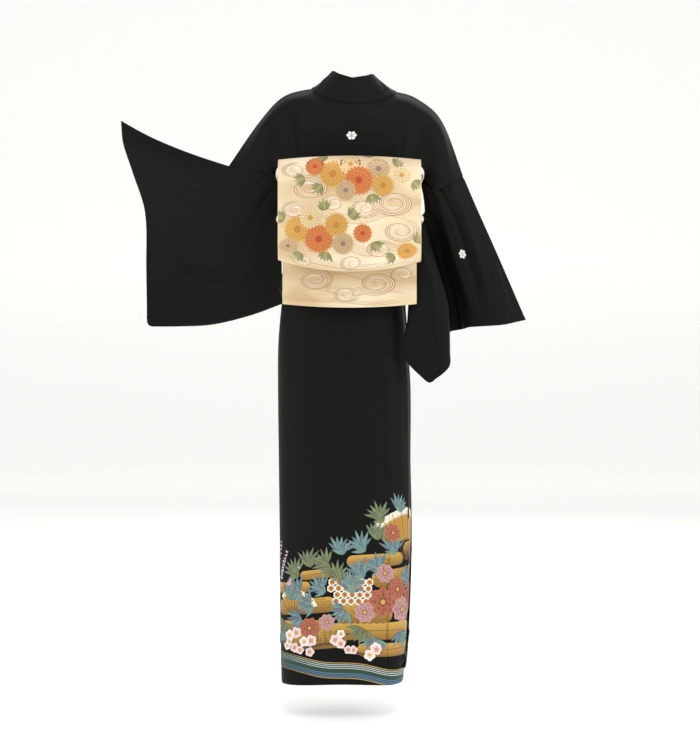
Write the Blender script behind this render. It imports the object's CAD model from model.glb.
import math
import random
import bpy
import bmesh
import numpy as np
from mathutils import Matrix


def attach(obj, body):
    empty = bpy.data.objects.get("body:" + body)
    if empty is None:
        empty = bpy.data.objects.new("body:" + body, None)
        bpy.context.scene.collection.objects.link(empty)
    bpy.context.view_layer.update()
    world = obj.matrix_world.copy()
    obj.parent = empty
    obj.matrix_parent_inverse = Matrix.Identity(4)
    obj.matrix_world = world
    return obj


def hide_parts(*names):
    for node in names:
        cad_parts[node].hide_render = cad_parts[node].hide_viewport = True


# A black formal kimono as it is worn, tied behind with a brocade obi. Sizes are in millimetres and are
# turned to metres as each mesh is made. The back faces -Y and +X is the wearer's right.
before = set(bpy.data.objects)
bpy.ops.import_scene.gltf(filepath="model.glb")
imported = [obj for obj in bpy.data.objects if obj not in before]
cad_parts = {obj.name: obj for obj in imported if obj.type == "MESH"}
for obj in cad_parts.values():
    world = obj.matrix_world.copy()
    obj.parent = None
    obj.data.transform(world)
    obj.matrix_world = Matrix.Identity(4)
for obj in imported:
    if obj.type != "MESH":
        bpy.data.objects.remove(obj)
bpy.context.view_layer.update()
toMetres = 0.001


# Colours and nodes

def dye(hexColour, alpha=1.0):
    channels = [int(hexColour[i:i + 2], 16) / 255 for i in (1, 3, 5)]
    linear = [c / 12.92 if c <= 0.04045 else ((c + 0.055) / 1.055) ** 2.4 for c in channels]
    return (*linear, alpha)


def feed(tree, node, inputs):
    # links what is a socket and sets what is a plain value
    for name, value in inputs.items():
        if isinstance(value, bpy.types.NodeSocket):
            tree.links.new(value, node.inputs[name])
        else:
            node.inputs[name].default_value = value


def addNode(tree, kind, settings=None, inputs=None):
    node = tree.nodes.new(kind)
    for name, value in (settings or {}).items():
        setattr(node, name, value)
    feed(tree, node, inputs or {})
    return node


def perMillimetre(size):
    # a noise or wave this many millimetres across, on coordinates in metres
    return 1000 / size


def putInScene(name, data):
    thing = bpy.data.objects.new(name, data)
    bpy.context.scene.collection.objects.link(thing)
    return thing


def smooth(mesh):
    mesh.polygons.foreach_set("use_smooth", [True] * len(mesh.polygons))


# Camera: level, square behind the wearer
view = {"distance": 3500, "height": -633, "focal": 74.3, "sensor": 36}
lens = bpy.data.cameras.new("studioCamera")
lens.sensor_width = view["sensor"]
lens.lens = view["focal"]
lens.clip_end = 40
camera = putInScene("studioCamera", lens)
camera.location = (0, -view["distance"] * toMetres, view["height"] * toMetres)
camera.rotation_euler = (math.radians(90), 0, 0)
bpy.context.scene.camera = camera
bpy.context.scene.view_settings.view_transform = "Standard"

# Studio: a pale sweep, a broad soft light from above in front of it and two from the sides
studio = {
    "floorLevel": -1396,  # a little below the hem, which hangs clear of it
    "floor": "#f4f3f1",
    "floorGlow": 0.36,  # lifts the sweep towards white without more light on the cloth
    "lights": [
        {"name": "overheadLight", "at": (0.3, -2.2, 2.6), "to": (0, 0, -0.6), "size": 2.6, "watts": 54},
        {"name": "leftLight", "at": (-3.4, -2.2, 0.4), "to": (0, 0, -0.5), "size": 2.2, "watts": 38},
        {"name": "rightLight", "at": (3.4, -2.0, 0.6), "to": (0, 0, -0.5), "size": 2.2, "watts": 46},
        {"name": "frontLight", "at": (0.5, 3.4, 1.6), "to": (0, 0, -0.5), "size": 2.6, "watts": 50},
    ],
    "skyStrength": 0.5,
}


def buildStudio():
    level = studio["floorLevel"] * toMetres
    reach, rise, bend = 9.0, 7.0, 1.6
    curve = [(-reach, 0.0)]
    curve += [(reach - bend + bend * math.sin(t), bend - bend * math.cos(t))
              for t in np.linspace(0, math.pi / 2, 13)]
    curve += [(reach, rise)]
    verts = [(x, y, level + z) for x in (-12, 12) for y, z in curve]
    n = len(curve)
    faces = [(i, i + n, i + n + 1, i + 1) for i in range(n - 1)]
    mesh = bpy.data.meshes.new("sweep")
    mesh.from_pydata(verts, [], faces)
    smooth(mesh)
    sweep = putInScene("sweep", mesh)
    paper = bpy.data.materials.new("seamlessPaper")
    paper.use_nodes = True
    shade = dye(studio["floor"])
    feed(paper.node_tree, paper.node_tree.nodes["Principled BSDF"], {
        "Base Color": shade, "Roughness": 0.9, "Emission Color": shade,
        "Emission Strength": studio["floorGlow"]})
    mesh.materials.append(paper)
    for light in studio["lights"]:
        lamp = bpy.data.lights.new(light["name"], "AREA")
        lamp.size = light["size"]
        lamp.energy = light["watts"]
        stand = putInScene(light["name"], lamp)
        stand.location = light["at"]
        aim = np.array(light["to"]) - np.array(light["at"])
        tilt, heading = math.acos(-aim[2] / np.linalg.norm(aim)), math.atan2(aim[1], aim[0]) - math.pi / 2
        stand.rotation_euler = (tilt, 0, heading)
    world = bpy.data.worlds.new("studioSky")
    world.use_nodes = True
    feed(world.node_tree, world.node_tree.nodes["Background"],
         {"Color": dye("#ffffff"), "Strength": studio["skyStrength"]})
    bpy.context.scene.world = world


buildStudio()
print("studio ready")


# Curves through named places

def mix(a, b, t):
    return a + (b - a) * t


def ease(t):
    c = np.clip(t, 0, 1)
    return c * c * (3 - 2 * c)


def ridge(away, width):
    return np.exp(-(away / width) ** 2)


def unit(vectors):
    return vectors / np.maximum(np.linalg.norm(vectors, axis=-1, keepdims=True), 1e-9)


def sideways(ahead):
    return np.stack([-ahead[..., 1], ahead[..., 0]], -1)


def runAlong(points):
    # how far along the line each of its points lies
    return np.concatenate([[0], np.cumsum(np.linalg.norm(np.diff(points, axis=0), axis=1))])


def through(places, points, at, tame=False, each=False):
    # the smooth curve through the points, read at many places; a tame one never swings past its points.
    # With "each", every place reads its own curve.
    places = np.asarray(places, float)
    points = np.asarray(points, float)
    x = np.clip(np.atleast_1d(np.asarray(at, float)), places[0], places[-1])
    last = len(places) - 1
    i = np.clip(np.searchsorted(places[1:], x, side="left"), 0, last - 1)
    slopes = np.zeros_like(points)
    for k in range(last + 1):
        a, b = max(k - 1, 0), min(k + 1, last)
        mean = (points[b] - points[a]) / (places[b] - places[a])
        if tame and a != k and b != k:
            before = (points[k] - points[a]) / (places[k] - places[a])
            after = (points[b] - points[k]) / (places[b] - places[k])
            limit = 2.5 * np.minimum(np.abs(before), np.abs(after))
            mean = np.where(before * after <= 0, 0, np.sign(mean) * np.minimum(np.abs(mean), limit))
        slopes[k] = mean
    shape = (-1,) + (1,) * (points.ndim - (2 if each else 1))
    pick = (i, np.arange(len(x))) if each else i
    after = (i + 1, np.arange(len(x))) if each else i + 1
    span = (places[i + 1] - places[i]).reshape(shape)
    t = ((x - places[i]) / (places[i + 1] - places[i])).reshape(shape)
    bend = slopes[pick] * t * (1 - t) ** 2 - slopes[after] * t * t * (1 - t)
    return points[pick] + (points[after] - points[pick]) * t * t * (3 - 2 * t) + span * bend


# The figure that the cloth stands round, at drops below the shoulders
figure = {
    "drop": [180, 290, 370, 460, 560, 660, 830, 1000, 1150, 1260, 1325],
    "halfWidth": [137, 135, 133, 138, 147, 151, 150, 149, 146, 142, 138],
    "back": [100, 98, 97, 101, 107, 108, 102, 95, 88, 84, 82],
    "front": [103, 100, 98, 102, 106, 106, 103, 98, 93, 90, 88],
    "middle": [2, 0, -6, -14, -14, -11, -10, -9, -11, -13, -16],
    "squareness": 2.4,
}
levelStep = 5
levels = np.arange(-1350, -169, levelStep, dtype=float)
turnSteps = 768


def measureFigure():
    angle = np.linspace(0, 2 * np.pi, 1441) - np.pi / 2
    c, s = np.cos(angle), np.sin(angle)
    power = 2 / figure["squareness"]
    rows, wholes = [], []
    for z in levels:
        size = {name: through(figure["drop"], figure[name], -z)[0] for name in ("halfWidth", "back",
                "front", "middle")}
        x = size["middle"] + size["halfWidth"] * np.sign(c) * np.abs(c) ** power
        y = np.where(s < 0, size["back"], size["front"]) * np.sign(s) * np.abs(s) ** power
        run = np.concatenate([[0], np.cumsum(np.hypot(np.diff(x), np.diff(y)))])
        even = np.linspace(0, run[-1], turnSteps + 1)
        rows.append(np.stack([np.interp(even, run, x), np.interp(even, run, y)], -1))
        wholes.append(run[-1])
    rows = np.array(rows)
    along = np.roll(rows[:, :-1], -1, 1) - np.roll(rows[:, :-1], 1, 1)
    along = np.concatenate([along, along[:, :1]], 1)
    return rows, unit(-sideways(along)), np.array(wholes)


figureRows, figureOutward, figureWholes = measureFigure()


def wholeGirth(z):
    return np.interp(z, levels, figureWholes)


def onFigure(girth, z, out):
    # girth runs from the middle of the back towards the wearer's right
    girth, z, out = np.broadcast_arrays(np.asarray(girth, float), np.asarray(z, float), np.asarray(out,
            float))
    level = np.clip((z - levels[0]) / levelStep, 0, len(levels) - 1.0001)
    i = level.astype(int)
    up = (level - i)[..., None]
    turn = np.mod(girth / wholeGirth(z), 1) * turnSteps
    j = np.minimum(turn.astype(int), turnSteps - 1)
    on = (turn - j)[..., None]

    def read(table):
        low = mix(table[i, j], table[i, j + 1], on)
        high = mix(table[i + 1, j], table[i + 1, j + 1], on)
        return mix(low, high, up)

    flat = read(figureRows) + read(figureOutward) * out[..., None]
    return np.concatenate([flat, z[..., None]], -1)


def onFront(x, z, out):
    return onFigure(wholeGirth(z) / 2 - x, z, out)


# Cloth as thin closed shells

def linkMesh(name, verts, faces, material):
    mesh = bpy.data.meshes.new(name)
    mesh.from_pydata(np.asarray(verts) * toMetres, [], faces)
    mesh.materials.append(material)
    return putInScene(name, mesh)


def normalsOf(grid, ring):
    if ring:
        along = np.roll(grid, -1, 1) - np.roll(grid, 1, 1)
    else:
        along = np.gradient(grid, axis=1)
    return unit(np.cross(along, np.gradient(grid, axis=0)))


def clothShell(name, grid, flat, wall, material, ring=False, outside=1):
    # grid[v, u] is the middle of the cloth and flat[v, u] its place on the cut cloth, both in millimetres;
    # outside is 1 where the grid's own normal points out of the garment
    rows, columns = grid.shape[:2]
    n = normalsOf(grid, ring) * outside
    count = rows * columns
    verts = np.concatenate([(grid + n * wall / 2).reshape(-1, 3), (grid - n * wall / 2).reshape(-1, 3)])
    ids = np.arange(count).reshape(rows, columns)
    if ring:
        ids = np.concatenate([ids, ids[:, :1]], 1)
    a, b, c, d = ids[:-1, :-1], ids[:-1, 1:], ids[1:, 1:], ids[1:, :-1]
    front = np.stack([a, b, c, d], -1).reshape(-1, 4)
    if outside < 0:
        front = front[:, ::-1]
    inner = front[:, ::-1] + count

    def rim(edge):
        strip = np.stack([edge[1:], edge[:-1], edge[:-1] + count, edge[1:] + count], -1)
        return strip if outside > 0 else strip[:, ::-1]

    sides = [rim(ids[0]), rim(ids[-1][::-1])]
    if not ring:
        sides += [rim(ids[::-1, 0]), rim(ids[:, -1])]
    faces = np.concatenate([front, inner, *sides])
    piece = linkMesh(name, verts, faces.tolist(), material)
    mesh = piece.data
    smooth(mesh)
    mesh.set_sharp_from_angle(angle=math.radians(55))
    layer = mesh.uv_layers.new(name="cloth")
    corners = np.zeros(len(mesh.loops), int)
    mesh.loops.foreach_get("vertex_index", corners)
    where = np.concatenate([flat.reshape(-1, 2)] * 2) * toMetres
    layer.data.foreach_set("uv", where[corners].astype(np.float32).ravel())
    return piece


creaseFade = 0.3  # the share of its length over which a crease fades


def creased(grid, place, creases, ring=False, outside=1):
    # soft troughs and ridges along a few points on the cut cloth, as (points, height, width, start). "start"
    # is the share of its length over which a crease rises; 0 starts it in full, as where it leaves a seam
    field = np.zeros(grid.shape[:2])
    for points, height, width, *start in creases:
        start = start[0] if start else creaseFade
        points = np.asarray(points, float)
        near = np.full(field.shape, 1e9)
        best = np.zeros(field.shape)
        lengths = np.linalg.norm(np.diff(points, axis=0), axis=1)
        total = lengths.sum()
        run = 0.0
        for p, q, length in zip(points[:-1], points[1:], lengths):
            t = np.clip(((place - p) @ (q - p)) / length ** 2, 0, 1)
            far = np.linalg.norm(place - (p + t[..., None] * (q - p)), axis=-1)
            closer = far < near
            near = np.where(closer, far, near)
            best = np.where(closer, run + t * length, best)
            run += length
        fade = ease((total - best) / (total * creaseFade))
        if start:
            fade = ease(best / (total * start)) * fade
        field += height * fade * ridge(near, width)
    return grid + normalsOf(grid, ring) * outside * field[..., None]


def wear(piece, slot, *nodes):
    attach(piece, "root")
    if nodes:
        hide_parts(*nodes)
    return piece


# Materials

def newMaterial(name):
    material = bpy.data.materials.new(name)
    material.use_nodes = True
    tree = material.node_tree
    return material, tree, tree.nodes["Principled BSDF"]


def makeBlackCrepe():
    # chirimen, a crepe of hard-twisted silk piece-dyed black: dull and deep, with a fine pebbled grain
    # that breaks its sheen, and a soft bloom where it turns from the light
    # the grain is drawn twice as coarse
    look = {"deep": "#050504", "worn": "#0b0b0a", "grain": 1.5, "cloud": 160}
    material, tree, shader = newMaterial("blackCrepe")
    place = addNode(tree, "ShaderNodeTexCoord").outputs["Object"]
    cloud = addNode(tree, "ShaderNodeTexNoise", inputs={"Vector": place,
            "Scale": perMillimetre(look["cloud"]), "Detail": 3.0})
    shade = addNode(tree, "ShaderNodeMix", {"data_type": "RGBA"},
                    {0: cloud.outputs["Fac"], 6: dye(look["deep"]), 7: dye(look["worn"])})
    stretched = addNode(tree, "ShaderNodeMapping", inputs={"Vector": place, "Scale": (1, 1, 0.55)})
    grain = addNode(tree, "ShaderNodeTexNoise", inputs={
        "Vector": stretched.outputs[0], "Scale": perMillimetre(look["grain"]), "Detail": 2.0,
        "Roughness": 0.7})
    flecks = addNode(tree, "ShaderNodeMapRange", inputs={"Value": grain.outputs["Fac"], 3: 0.56, 4: 0.74})
    bump = addNode(tree, "ShaderNodeBump", inputs={"Strength": 0.35, "Distance": 0.0004,
            "Height": grain.outputs["Fac"]})
    feed(tree, shader, {"Base Color": shade.outputs[2], "Roughness": flecks.outputs[0],
                        "Normal": bump.outputs[0],
                        "Specular IOR Level": 0.15, "Sheen Weight": 0.03, "Sheen Roughness": 0.45,
                        "Sheen Tint": dye("#c9ccd2")})
    return material


def makeBrocadeSatin():
    # double-woven obi: a warp-faced satin of cream silk, glossy along its threads, with a gold weft that
    # shows through in drifts
    look = {"cream": "#e2cca4", "light": "#f1e3c4", "tan": "#cdab7c", "drift": 120, "weft": 1.3,
            "warp": 0.9}
    material, tree, shader = newMaterial("brocadeSatin")
    place = addNode(tree, "ShaderNodeUVMap", {"uv_map": "cloth"}).outputs[0]
    drift = addNode(tree, "ShaderNodeMapping", inputs={"Vector": place, "Rotation": (0, 0, 0.5),
            "Scale": (0.6, 1.6, 1)})
    clouds = addNode(tree, "ShaderNodeTexNoise", inputs={"Vector": drift.outputs[0],
            "Scale": perMillimetre(look["drift"]), "Detail": 2.5})
    ramp = addNode(tree, "ShaderNodeValToRGB", inputs={"Fac": clouds.outputs["Fac"]})
    stops = ramp.color_ramp.elements
    stops[0].position, stops[0].color = 0.34, dye(look["tan"])
    stops[1].position, stops[1].color = 0.68, dye(look["light"])
    stops.new(0.5).color = dye(look["cream"])
    weft = addNode(tree, "ShaderNodeTexWave", {"wave_type": "BANDS", "bands_direction": "Y"},
                   {"Vector": place, "Scale": perMillimetre(look["weft"]) / 20 * 3.2, "Distortion": 0.3})
    threads = addNode(tree, "ShaderNodeMapping", inputs={"Vector": place, "Scale": (1, 0.08, 1)})
    warp = addNode(tree, "ShaderNodeTexNoise", inputs={"Vector": threads.outputs[0],
            "Scale": perMillimetre(look["warp"]), "Detail": 1.0})
    height = addNode(tree, "ShaderNodeMath", {"operation": "MULTIPLY_ADD"}, {0: warp.outputs["Fac"], 1: 0.6,
            2: weft.outputs["Fac"]})
    bump = addNode(tree, "ShaderNodeBump", inputs={"Strength": 0.22, "Distance": 0.0003,
            "Height": height.outputs[0]})
    shine = addNode(tree, "ShaderNodeMapRange", inputs={"Value": warp.outputs["Fac"], 3: 0.3, 4: 0.5})
    feed(tree, shader, {"Base Color": ramp.outputs[0], "Roughness": shine.outputs[0],
                        "Normal": bump.outputs[0],
                        "Specular IOR Level": 0.55, "Sheen Weight": 0.1})
    return material


def makeDyedSilk(name, roughness, metallic, raised):
    # motif colours are kept on the cloth's own points, so that each petal can shade from its heart out
    material, tree, shader = newMaterial(name)
    colour = addNode(tree, "ShaderNodeAttribute", {"attribute_name": "dye"}).outputs["Color"]
    place = addNode(tree, "ShaderNodeTexCoord").outputs["Object"]
    grain = addNode(tree, "ShaderNodeTexNoise", inputs={"Vector": place, "Scale": perMillimetre(1.4),
            "Detail": 2.0})
    tone = addNode(tree, "ShaderNodeMapRange", inputs={"Value": grain.outputs["Fac"], 1: 0.25, 2: 0.75,
            3: 0.86, 4: 1.08})
    shade = addNode(tree, "ShaderNodeMix", {"data_type": "RGBA", "blend_type": "MULTIPLY"},
                    {0: 1.0, 6: colour, 7: tone.outputs[0]})
    bump = addNode(tree, "ShaderNodeBump", inputs={"Strength": raised, "Distance": 0.0004,
            "Height": grain.outputs["Fac"]})
    feed(tree, shader, {"Base Color": shade.outputs[2], "Normal": bump.outputs[0], "Roughness": roughness,
                        "Metallic": metallic, "Sheen Weight": 0.08})
    return material


def makeWhiteSilk(name, look):
    # fibres in two whites, which also raise the surface a little
    material, tree, shader = newMaterial(name)
    place = addNode(tree, "ShaderNodeTexCoord").outputs["Object"]
    fibre = addNode(tree, "ShaderNodeTexNoise", inputs={
        "Vector": place, "Scale": perMillimetre(look["fibre"]), "Detail": look["detail"]})
    shade = addNode(tree, "ShaderNodeMix", {"data_type": "RGBA"},
                    {0: fibre.outputs["Fac"], 6: dye(look["shade"]), 7: dye(look["light"])})
    bump = addNode(tree, "ShaderNodeBump", inputs={
        "Strength": look["raised"], "Distance": look["depth"], "Height": fibre.outputs["Fac"]})
    feed(tree, shader, {"Base Color": shade.outputs[2], "Normal": bump.outputs[0],
                        "Roughness": look["roughness"], "Sheen Weight": look["sheen"]})
    return material


def makeSilkThread():
    # twisted sewing silk, tan and faintly glossy
    material, tree, shader = newMaterial("silkThread")
    feed(tree, shader, {"Base Color": dye("#a9814f"), "Roughness": 0.5, "Sheen Weight": 0.1})
    return material


blackCrepe = makeBlackCrepe()
brocadeSatin = makeBrocadeSatin()
# braided silk cord: firm and faintly glossy
braidedSilk = makeWhiteSilk("braidedSilk", {"fibre": 0.8, "detail": 2.0, "shade": "#dcd6c4",
        "light": "#f7f3e6",
                                            "raised": 0.3, "depth": 0.0003, "roughness": 0.5, "sheen": 0.2})
# figured silk of the scarf: soft and matte, with a pale sheen on its gathers
scarfSilk = makeWhiteSilk("scarfSilk", {"fibre": 2.2, "detail": 3.0, "shade": "#e6e0d4", "light": "#fbf8f0",
                                        "raised": 0.2, "depth": 0.0004, "roughness": 0.62, "sheen": 0.3})
silkThread = makeSilkThread()
printedSilk = makeDyedSilk("printedSilk", 0.62, 0.0, 0.2)
goldWeft = makeDyedSilk("goldWeft", 0.42, 0.25, 0.35)
print("materials ready")


# Pictures: flat motifs drawn in the cloth's own millimetres, each a little higher than what it covers,
# then laid on the outer face of the cloth
faces = {}  # the outer face of each cloth that carries a picture
inkLift = 0.12  # the lowest level above the cloth
inkStep = 0.05  # one level of a picture above the next


def keepFace(name, us, vs, grid, wall, outside):
    n = normalsOf(grid, False) * outside
    faces[name] = {"us": us, "vs": vs, "points": grid + n * wall / 2, "normals": n}


def joinFaces(name, parts):
    # panels sewn edge to edge, put side by side by their place across
    us = np.concatenate([faces[p]["us"] * turn for p, turn in parts])
    order = np.argsort(us)
    stacked = {key: np.concatenate([faces[p][key] for p, _ in parts], 1)[:, order] for key in ("points",
            "normals")}
    faces[name] = {"us": us[order], "vs": faces[parts[0][0]]["vs"], **stacked}


def layOn(name, u, v, out):
    face = faces[name]

    def cell(steps, at):
        i = np.clip(np.searchsorted(steps, at) - 1, 0, len(steps) - 2)
        return i, np.clip((at - steps[i]) / (steps[i + 1] - steps[i]), 0, 1)[:, None]

    i, a = cell(face["us"], u)
    j, b = cell(face["vs"], v)

    def read(table):
        return mix(mix(table[j, i], table[j, i + 1], a), mix(table[j + 1, i], table[j + 1, i + 1], a), b)

    return read(face["points"]) + read(face["normals"]) * out[:, None], read(face["normals"])


def newPicture():
    return {"verts": [], "faces": [], "dyes": [], "gold": []}


def addShape(picture, points, polygons, dyes, level, gold=False):
    start = len(picture["verts"])
    picture["verts"] += [(x, y, level) for x, y in points]
    picture["faces"] += [[start + i for i in polygon] for polygon in polygons]
    picture["gold"] += [int(gold)] * len(polygons)
    picture["dyes"] += [tuple(d) for d in dyes]


def blend(first, second, t):
    return tuple(mix(a, b, t) for a, b in zip(first, second))


def around(centre, reach, angle):
    return centre[0] + reach * math.cos(angle), centre[1] + reach * math.sin(angle)


def heading(start, end):
    start, end = np.asarray(start, float), np.asarray(end, float)
    length = np.linalg.norm(end - start)
    ahead = (end - start) / length
    return start, length, ahead, sideways(ahead)


def stripQuads(count):
    # the faces of a strip whose points come in pairs
    return [(2 * k, 2 * k + 2, 2 * k + 3, 2 * k + 1) for k in range(count)]


def sheetQuads(columns, rows):
    # the faces of a sheet whose points come column by column
    return [(c * rows + k, (c + 1) * rows + k, (c + 1) * rows + k + 1, c * rows + k + 1)
            for c in range(columns - 1) for k in range(rows - 1)]


def addPetal(picture, base, angle, length, width, inner, outer, level, full=0.8, gold=False):
    ahead = np.array([math.cos(angle), math.sin(angle)])
    beside = sideways(ahead)
    steps = 5
    points, dyes = [], []
    for k in range(steps + 1):
        t = k / steps
        half = width / 2 * max(math.sin(math.pi * t ** full), 0.03)
        middle = np.asarray(base) + ahead * length * t
        points += [middle - beside * half, middle + beside * half]
        dyes += [blend(inner, outer, t)] * 2
    addShape(picture, points, stripQuads(steps), dyes, level, gold)


def addDisc(picture, centre, radius, inner, outer, level, lobes=0, depth=0.0, turn=0.0, gold=False):
    sides = max(12, lobes * 6)
    angle = np.linspace(0, 2 * math.pi, sides, endpoint=False)
    shape = radius * (1 - depth * (0.5 - 0.5 * np.cos(lobes * angle))) if lobes else np.full(sides, radius)
    rings = [(0.5, blend(inner, outer, 0.35)), (1.0, outer)]
    points, dyes = [tuple(centre)], [inner]
    for share, colour in rings:
        points += [around(centre, share * r, a + turn) for r, a in zip(shape, angle)]
        dyes += [colour] * sides
    fan = [(0, 1 + k, 1 + (k + 1) % sides) for k in range(sides)]
    fan += [(1 + k, 1 + sides + k, 1 + sides + (k + 1) % sides, 1 + (k + 1) % sides) for k in range(sides)]
    addShape(picture, points, fan, dyes, level, gold)


def addRibbon(picture, points, width, colour, level, gold=False, taper=True, step=4.0):
    points = np.asarray(points, float)
    run = runAlong(points)
    count = max(int(run[-1] / step), 3)
    line = through(run, points, np.linspace(0, run[-1], count + 1))
    beside = sideways(unit(np.gradient(line, axis=0)))
    share = np.linspace(0, 1, count + 1)[:, None]
    half = width / 2 * (np.clip(np.sin(math.pi * share) * 1.6, 0.12, 1) if taper else 1)
    both = np.stack([line - beside * half, line + beside * half], 1).reshape(-1, 2)
    addShape(picture, both, stripQuads(count), [colour] * len(both), level, gold)


def addBand(picture, start, end, height, upper, lower, level, cell=4.0):
    # a bank of mist: a long bar with round ends
    start, length, ahead, beside = heading(start, end)
    r = height / 2
    turn = np.linspace(0, math.pi / 2, 6)
    ends = r * (1 - np.cos(turn))
    columns = np.concatenate([ends, np.linspace(r, length - r, max(int((length - height) / cell), 2))[1:-1],
                              (length - ends)[::-1]])
    tall = np.sqrt(np.maximum(r ** 2 - np.maximum(r - np.minimum(columns, length - columns), 0) ** 2, 0))
    rows = max(int(height / cell), 2)
    points, dyes = [], []
    for x, half in zip(columns, tall):
        for k in range(rows + 1):
            y = mix(-half, half, k / rows)
            points.append(start + ahead * x + beside * y)
            dyes.append(blend(lower, upper, k / rows))
    addShape(picture, points, sheetQuads(len(columns), rows + 1), dyes, level, True)


def addScales(picture, start, end, height, radius, colour, level):
    # rows of nested arcs, the old wave pattern, inside a bank of mist
    start, length, ahead, beside = heading(start, end)
    rows = int(height / radius)
    for row in range(rows):
        y = -height / 2 + radius * (row + 0.1)
        inset = height / 2 - math.sqrt(max((height / 2) ** 2 - max(abs(y), abs(y + radius)) ** 2, 0))
        x = inset + radius + (row % 2) * radius
        while x + radius < length - inset:
            for share in (0.95, 0.55):
                arc = [around((x, y), share * radius, a) for a in np.linspace(math.pi * 0.08,
                        math.pi * 0.92, 6)]
                arc = [start + ahead * p + beside * q for p, q in arc]
                addRibbon(picture, arc, 0.8, colour, level, taper=False, step=3.0)
            x += 2 * radius


def addChrysanthemum(picture, centre, radius, petals, look, level, turn=0.0):
    # rings of narrow petals, the outer ones longest, over a darker ground
    inner, outer, ground, heart = (dye(look[k]) for k in ("inner", "outer", "ground", "heart"))
    addDisc(picture, centre, radius * 0.9, ground, ground, level, petals, 0.1, turn)
    for ring, (reach, root, share) in enumerate([(1.0, 0.45, 1.0), (0.72, 0.25, 0.8), (0.46, 0.1, 0.6)]):
        count = int(petals * share)
        for k in range(count):
            angle = turn + 2 * math.pi * (k + 0.5 * (ring % 2)) / count
            base = around(centre, radius * root, angle)
            width = 2 * math.pi * radius * reach * 0.86 / count
            addPetal(picture, base, angle, radius * (reach - root), width, inner, outer, level + 1 + ring,
                     1.25, True)
    addDisc(picture, centre, radius * 0.16, heart, inner, level + 4)


def addPeony(picture, centre, radius, look, level, turn=0.0):
    edge, deep, heart = (dye(look[k]) for k in ("edge", "deep", "heart"))
    for ring, (share, lobes) in enumerate([(1.0, 8), (0.74, 7), (0.48, 5)]):
        addDisc(picture, centre, radius * share, deep, edge, level + 2 * ring, lobes, 0.16,
                turn + ring * 0.5)
        for k in range(lobes):
            angle = turn + ring * 0.5 + 2 * math.pi * k / lobes
            base = around(centre, radius * share * 0.3, angle)
            addPetal(picture, base, angle, radius * share * 0.6, radius * share * 0.34, deep,
                     blend(edge, deep, 0.4), level + 2 * ring + 1)
    addDisc(picture, centre, radius * 0.16, heart, heart, level + 6, gold=True)


def addPlum(picture, centre, radius, inner, outer, level, turn=0.0):
    # five round petals, a yellow heart and its stamens
    for k in range(5):
        angle = turn + 2 * math.pi * k / 5
        addDisc(picture, around(centre, 0.52 * radius, angle), radius * 0.47, blend(inner, outer, 0.5),
                outer, level + 0.4 * (k % 2), turn=angle)
        addPetal(picture, centre, angle, radius * 0.72, radius * 0.3, inner, blend(inner, outer, 0.6),
                 level + 1)
    for k in range(9):
        angle = turn + 0.3 + 2 * math.pi * k / 9
        addPetal(picture, centre, angle, radius * 0.42, 0.9, dye("#8a5a20"), dye("#c79a3c"), level + 2)
        addDisc(picture, around(centre, 0.4 * radius, angle), 0.8, dye("#e0b23e"), dye("#c88a28"),
                level + 3)
    addDisc(picture, centre, radius * 0.13, dye("#e6c052"), dye("#b9842c"), level + 3)


def addLeaves(picture, centre, count, length, width, aim, spread, tones, level, gold=False):
    # a spray of slender leaves, each with its rib
    for k in range(count):
        angle = aim + spread * ((k + 0.5) / count - 0.5) * 2
        size = length * random.uniform(0.78, 1.05)
        tone = dye(tones[k % len(tones)])
        addPetal(picture, centre, angle, size, width, tone, blend(tone, dye("#c9cfae"), 0.22),
                 level + 0.5 * (k % 3), 0.75, gold)
        end = around(centre, size * 0.9, angle)
        addRibbon(picture, [centre, ((centre[0] + end[0]) / 2, (centre[1] + end[1]) / 2), end], 0.6,
                  dye("#c8a45a"), level + 2, step=8.0)


def addSprig(picture, points, buds, tones, level):
    # a bush clover stem with small paired blossoms and round leaves
    addRibbon(picture, points, 1.3, dye("#7c6a3a"), level)
    points = np.asarray(points, float)
    run = np.linspace(0, 1, len(points))
    for k in range(buds):
        t = 0.12 + 0.86 * (k + 0.5) / buds
        at = through(run, points, t)[0]
        for side in (-1, 1):
            angle = math.pi / 2 + side * random.uniform(0.5, 1.1)
            size = random.uniform(6.5, 10) * (1.15 - 0.4 * t)
            tone = tones[(k + (side > 0)) % len(tones)]
            addPetal(picture, at, angle, size, size * 0.62, dye(tone), dye("#efe2ec"),
                     level + 1 + 0.5 * (side > 0), 0.7)


def addWater(picture, points, lines, gap, width, colour, level):
    # parallel lines of running water
    points = np.asarray(points, float)
    run = runAlong(points)
    line = through(run, points, np.linspace(0, run[-1], max(int(run[-1] / 8), 6)))
    beside = sideways(unit(np.gradient(line, axis=0)))
    for k in range(lines):
        offset = (k - (lines - 1) / 2) * gap
        addRibbon(picture, line + beside * offset, width, colour, level)


def addWhirl(picture, centre, radius, turns, arms, width, colour, level, wind):
    # an eddy: nested spirals that open into the stream
    for arm in range(arms):
        t = np.linspace(0.12, 1, int(26 * turns))
        angle = wind * turns * 2 * math.pi * t
        reach = radius * t * (0.62 + 0.38 * (arm + 1) / arms)
        path = np.stack([centre[0] + reach * 1.35 * np.cos(angle), centre[1] + reach * 0.8 * np.sin(angle)],
                        -1)
        addRibbon(picture, path, width, colour, level)


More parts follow.
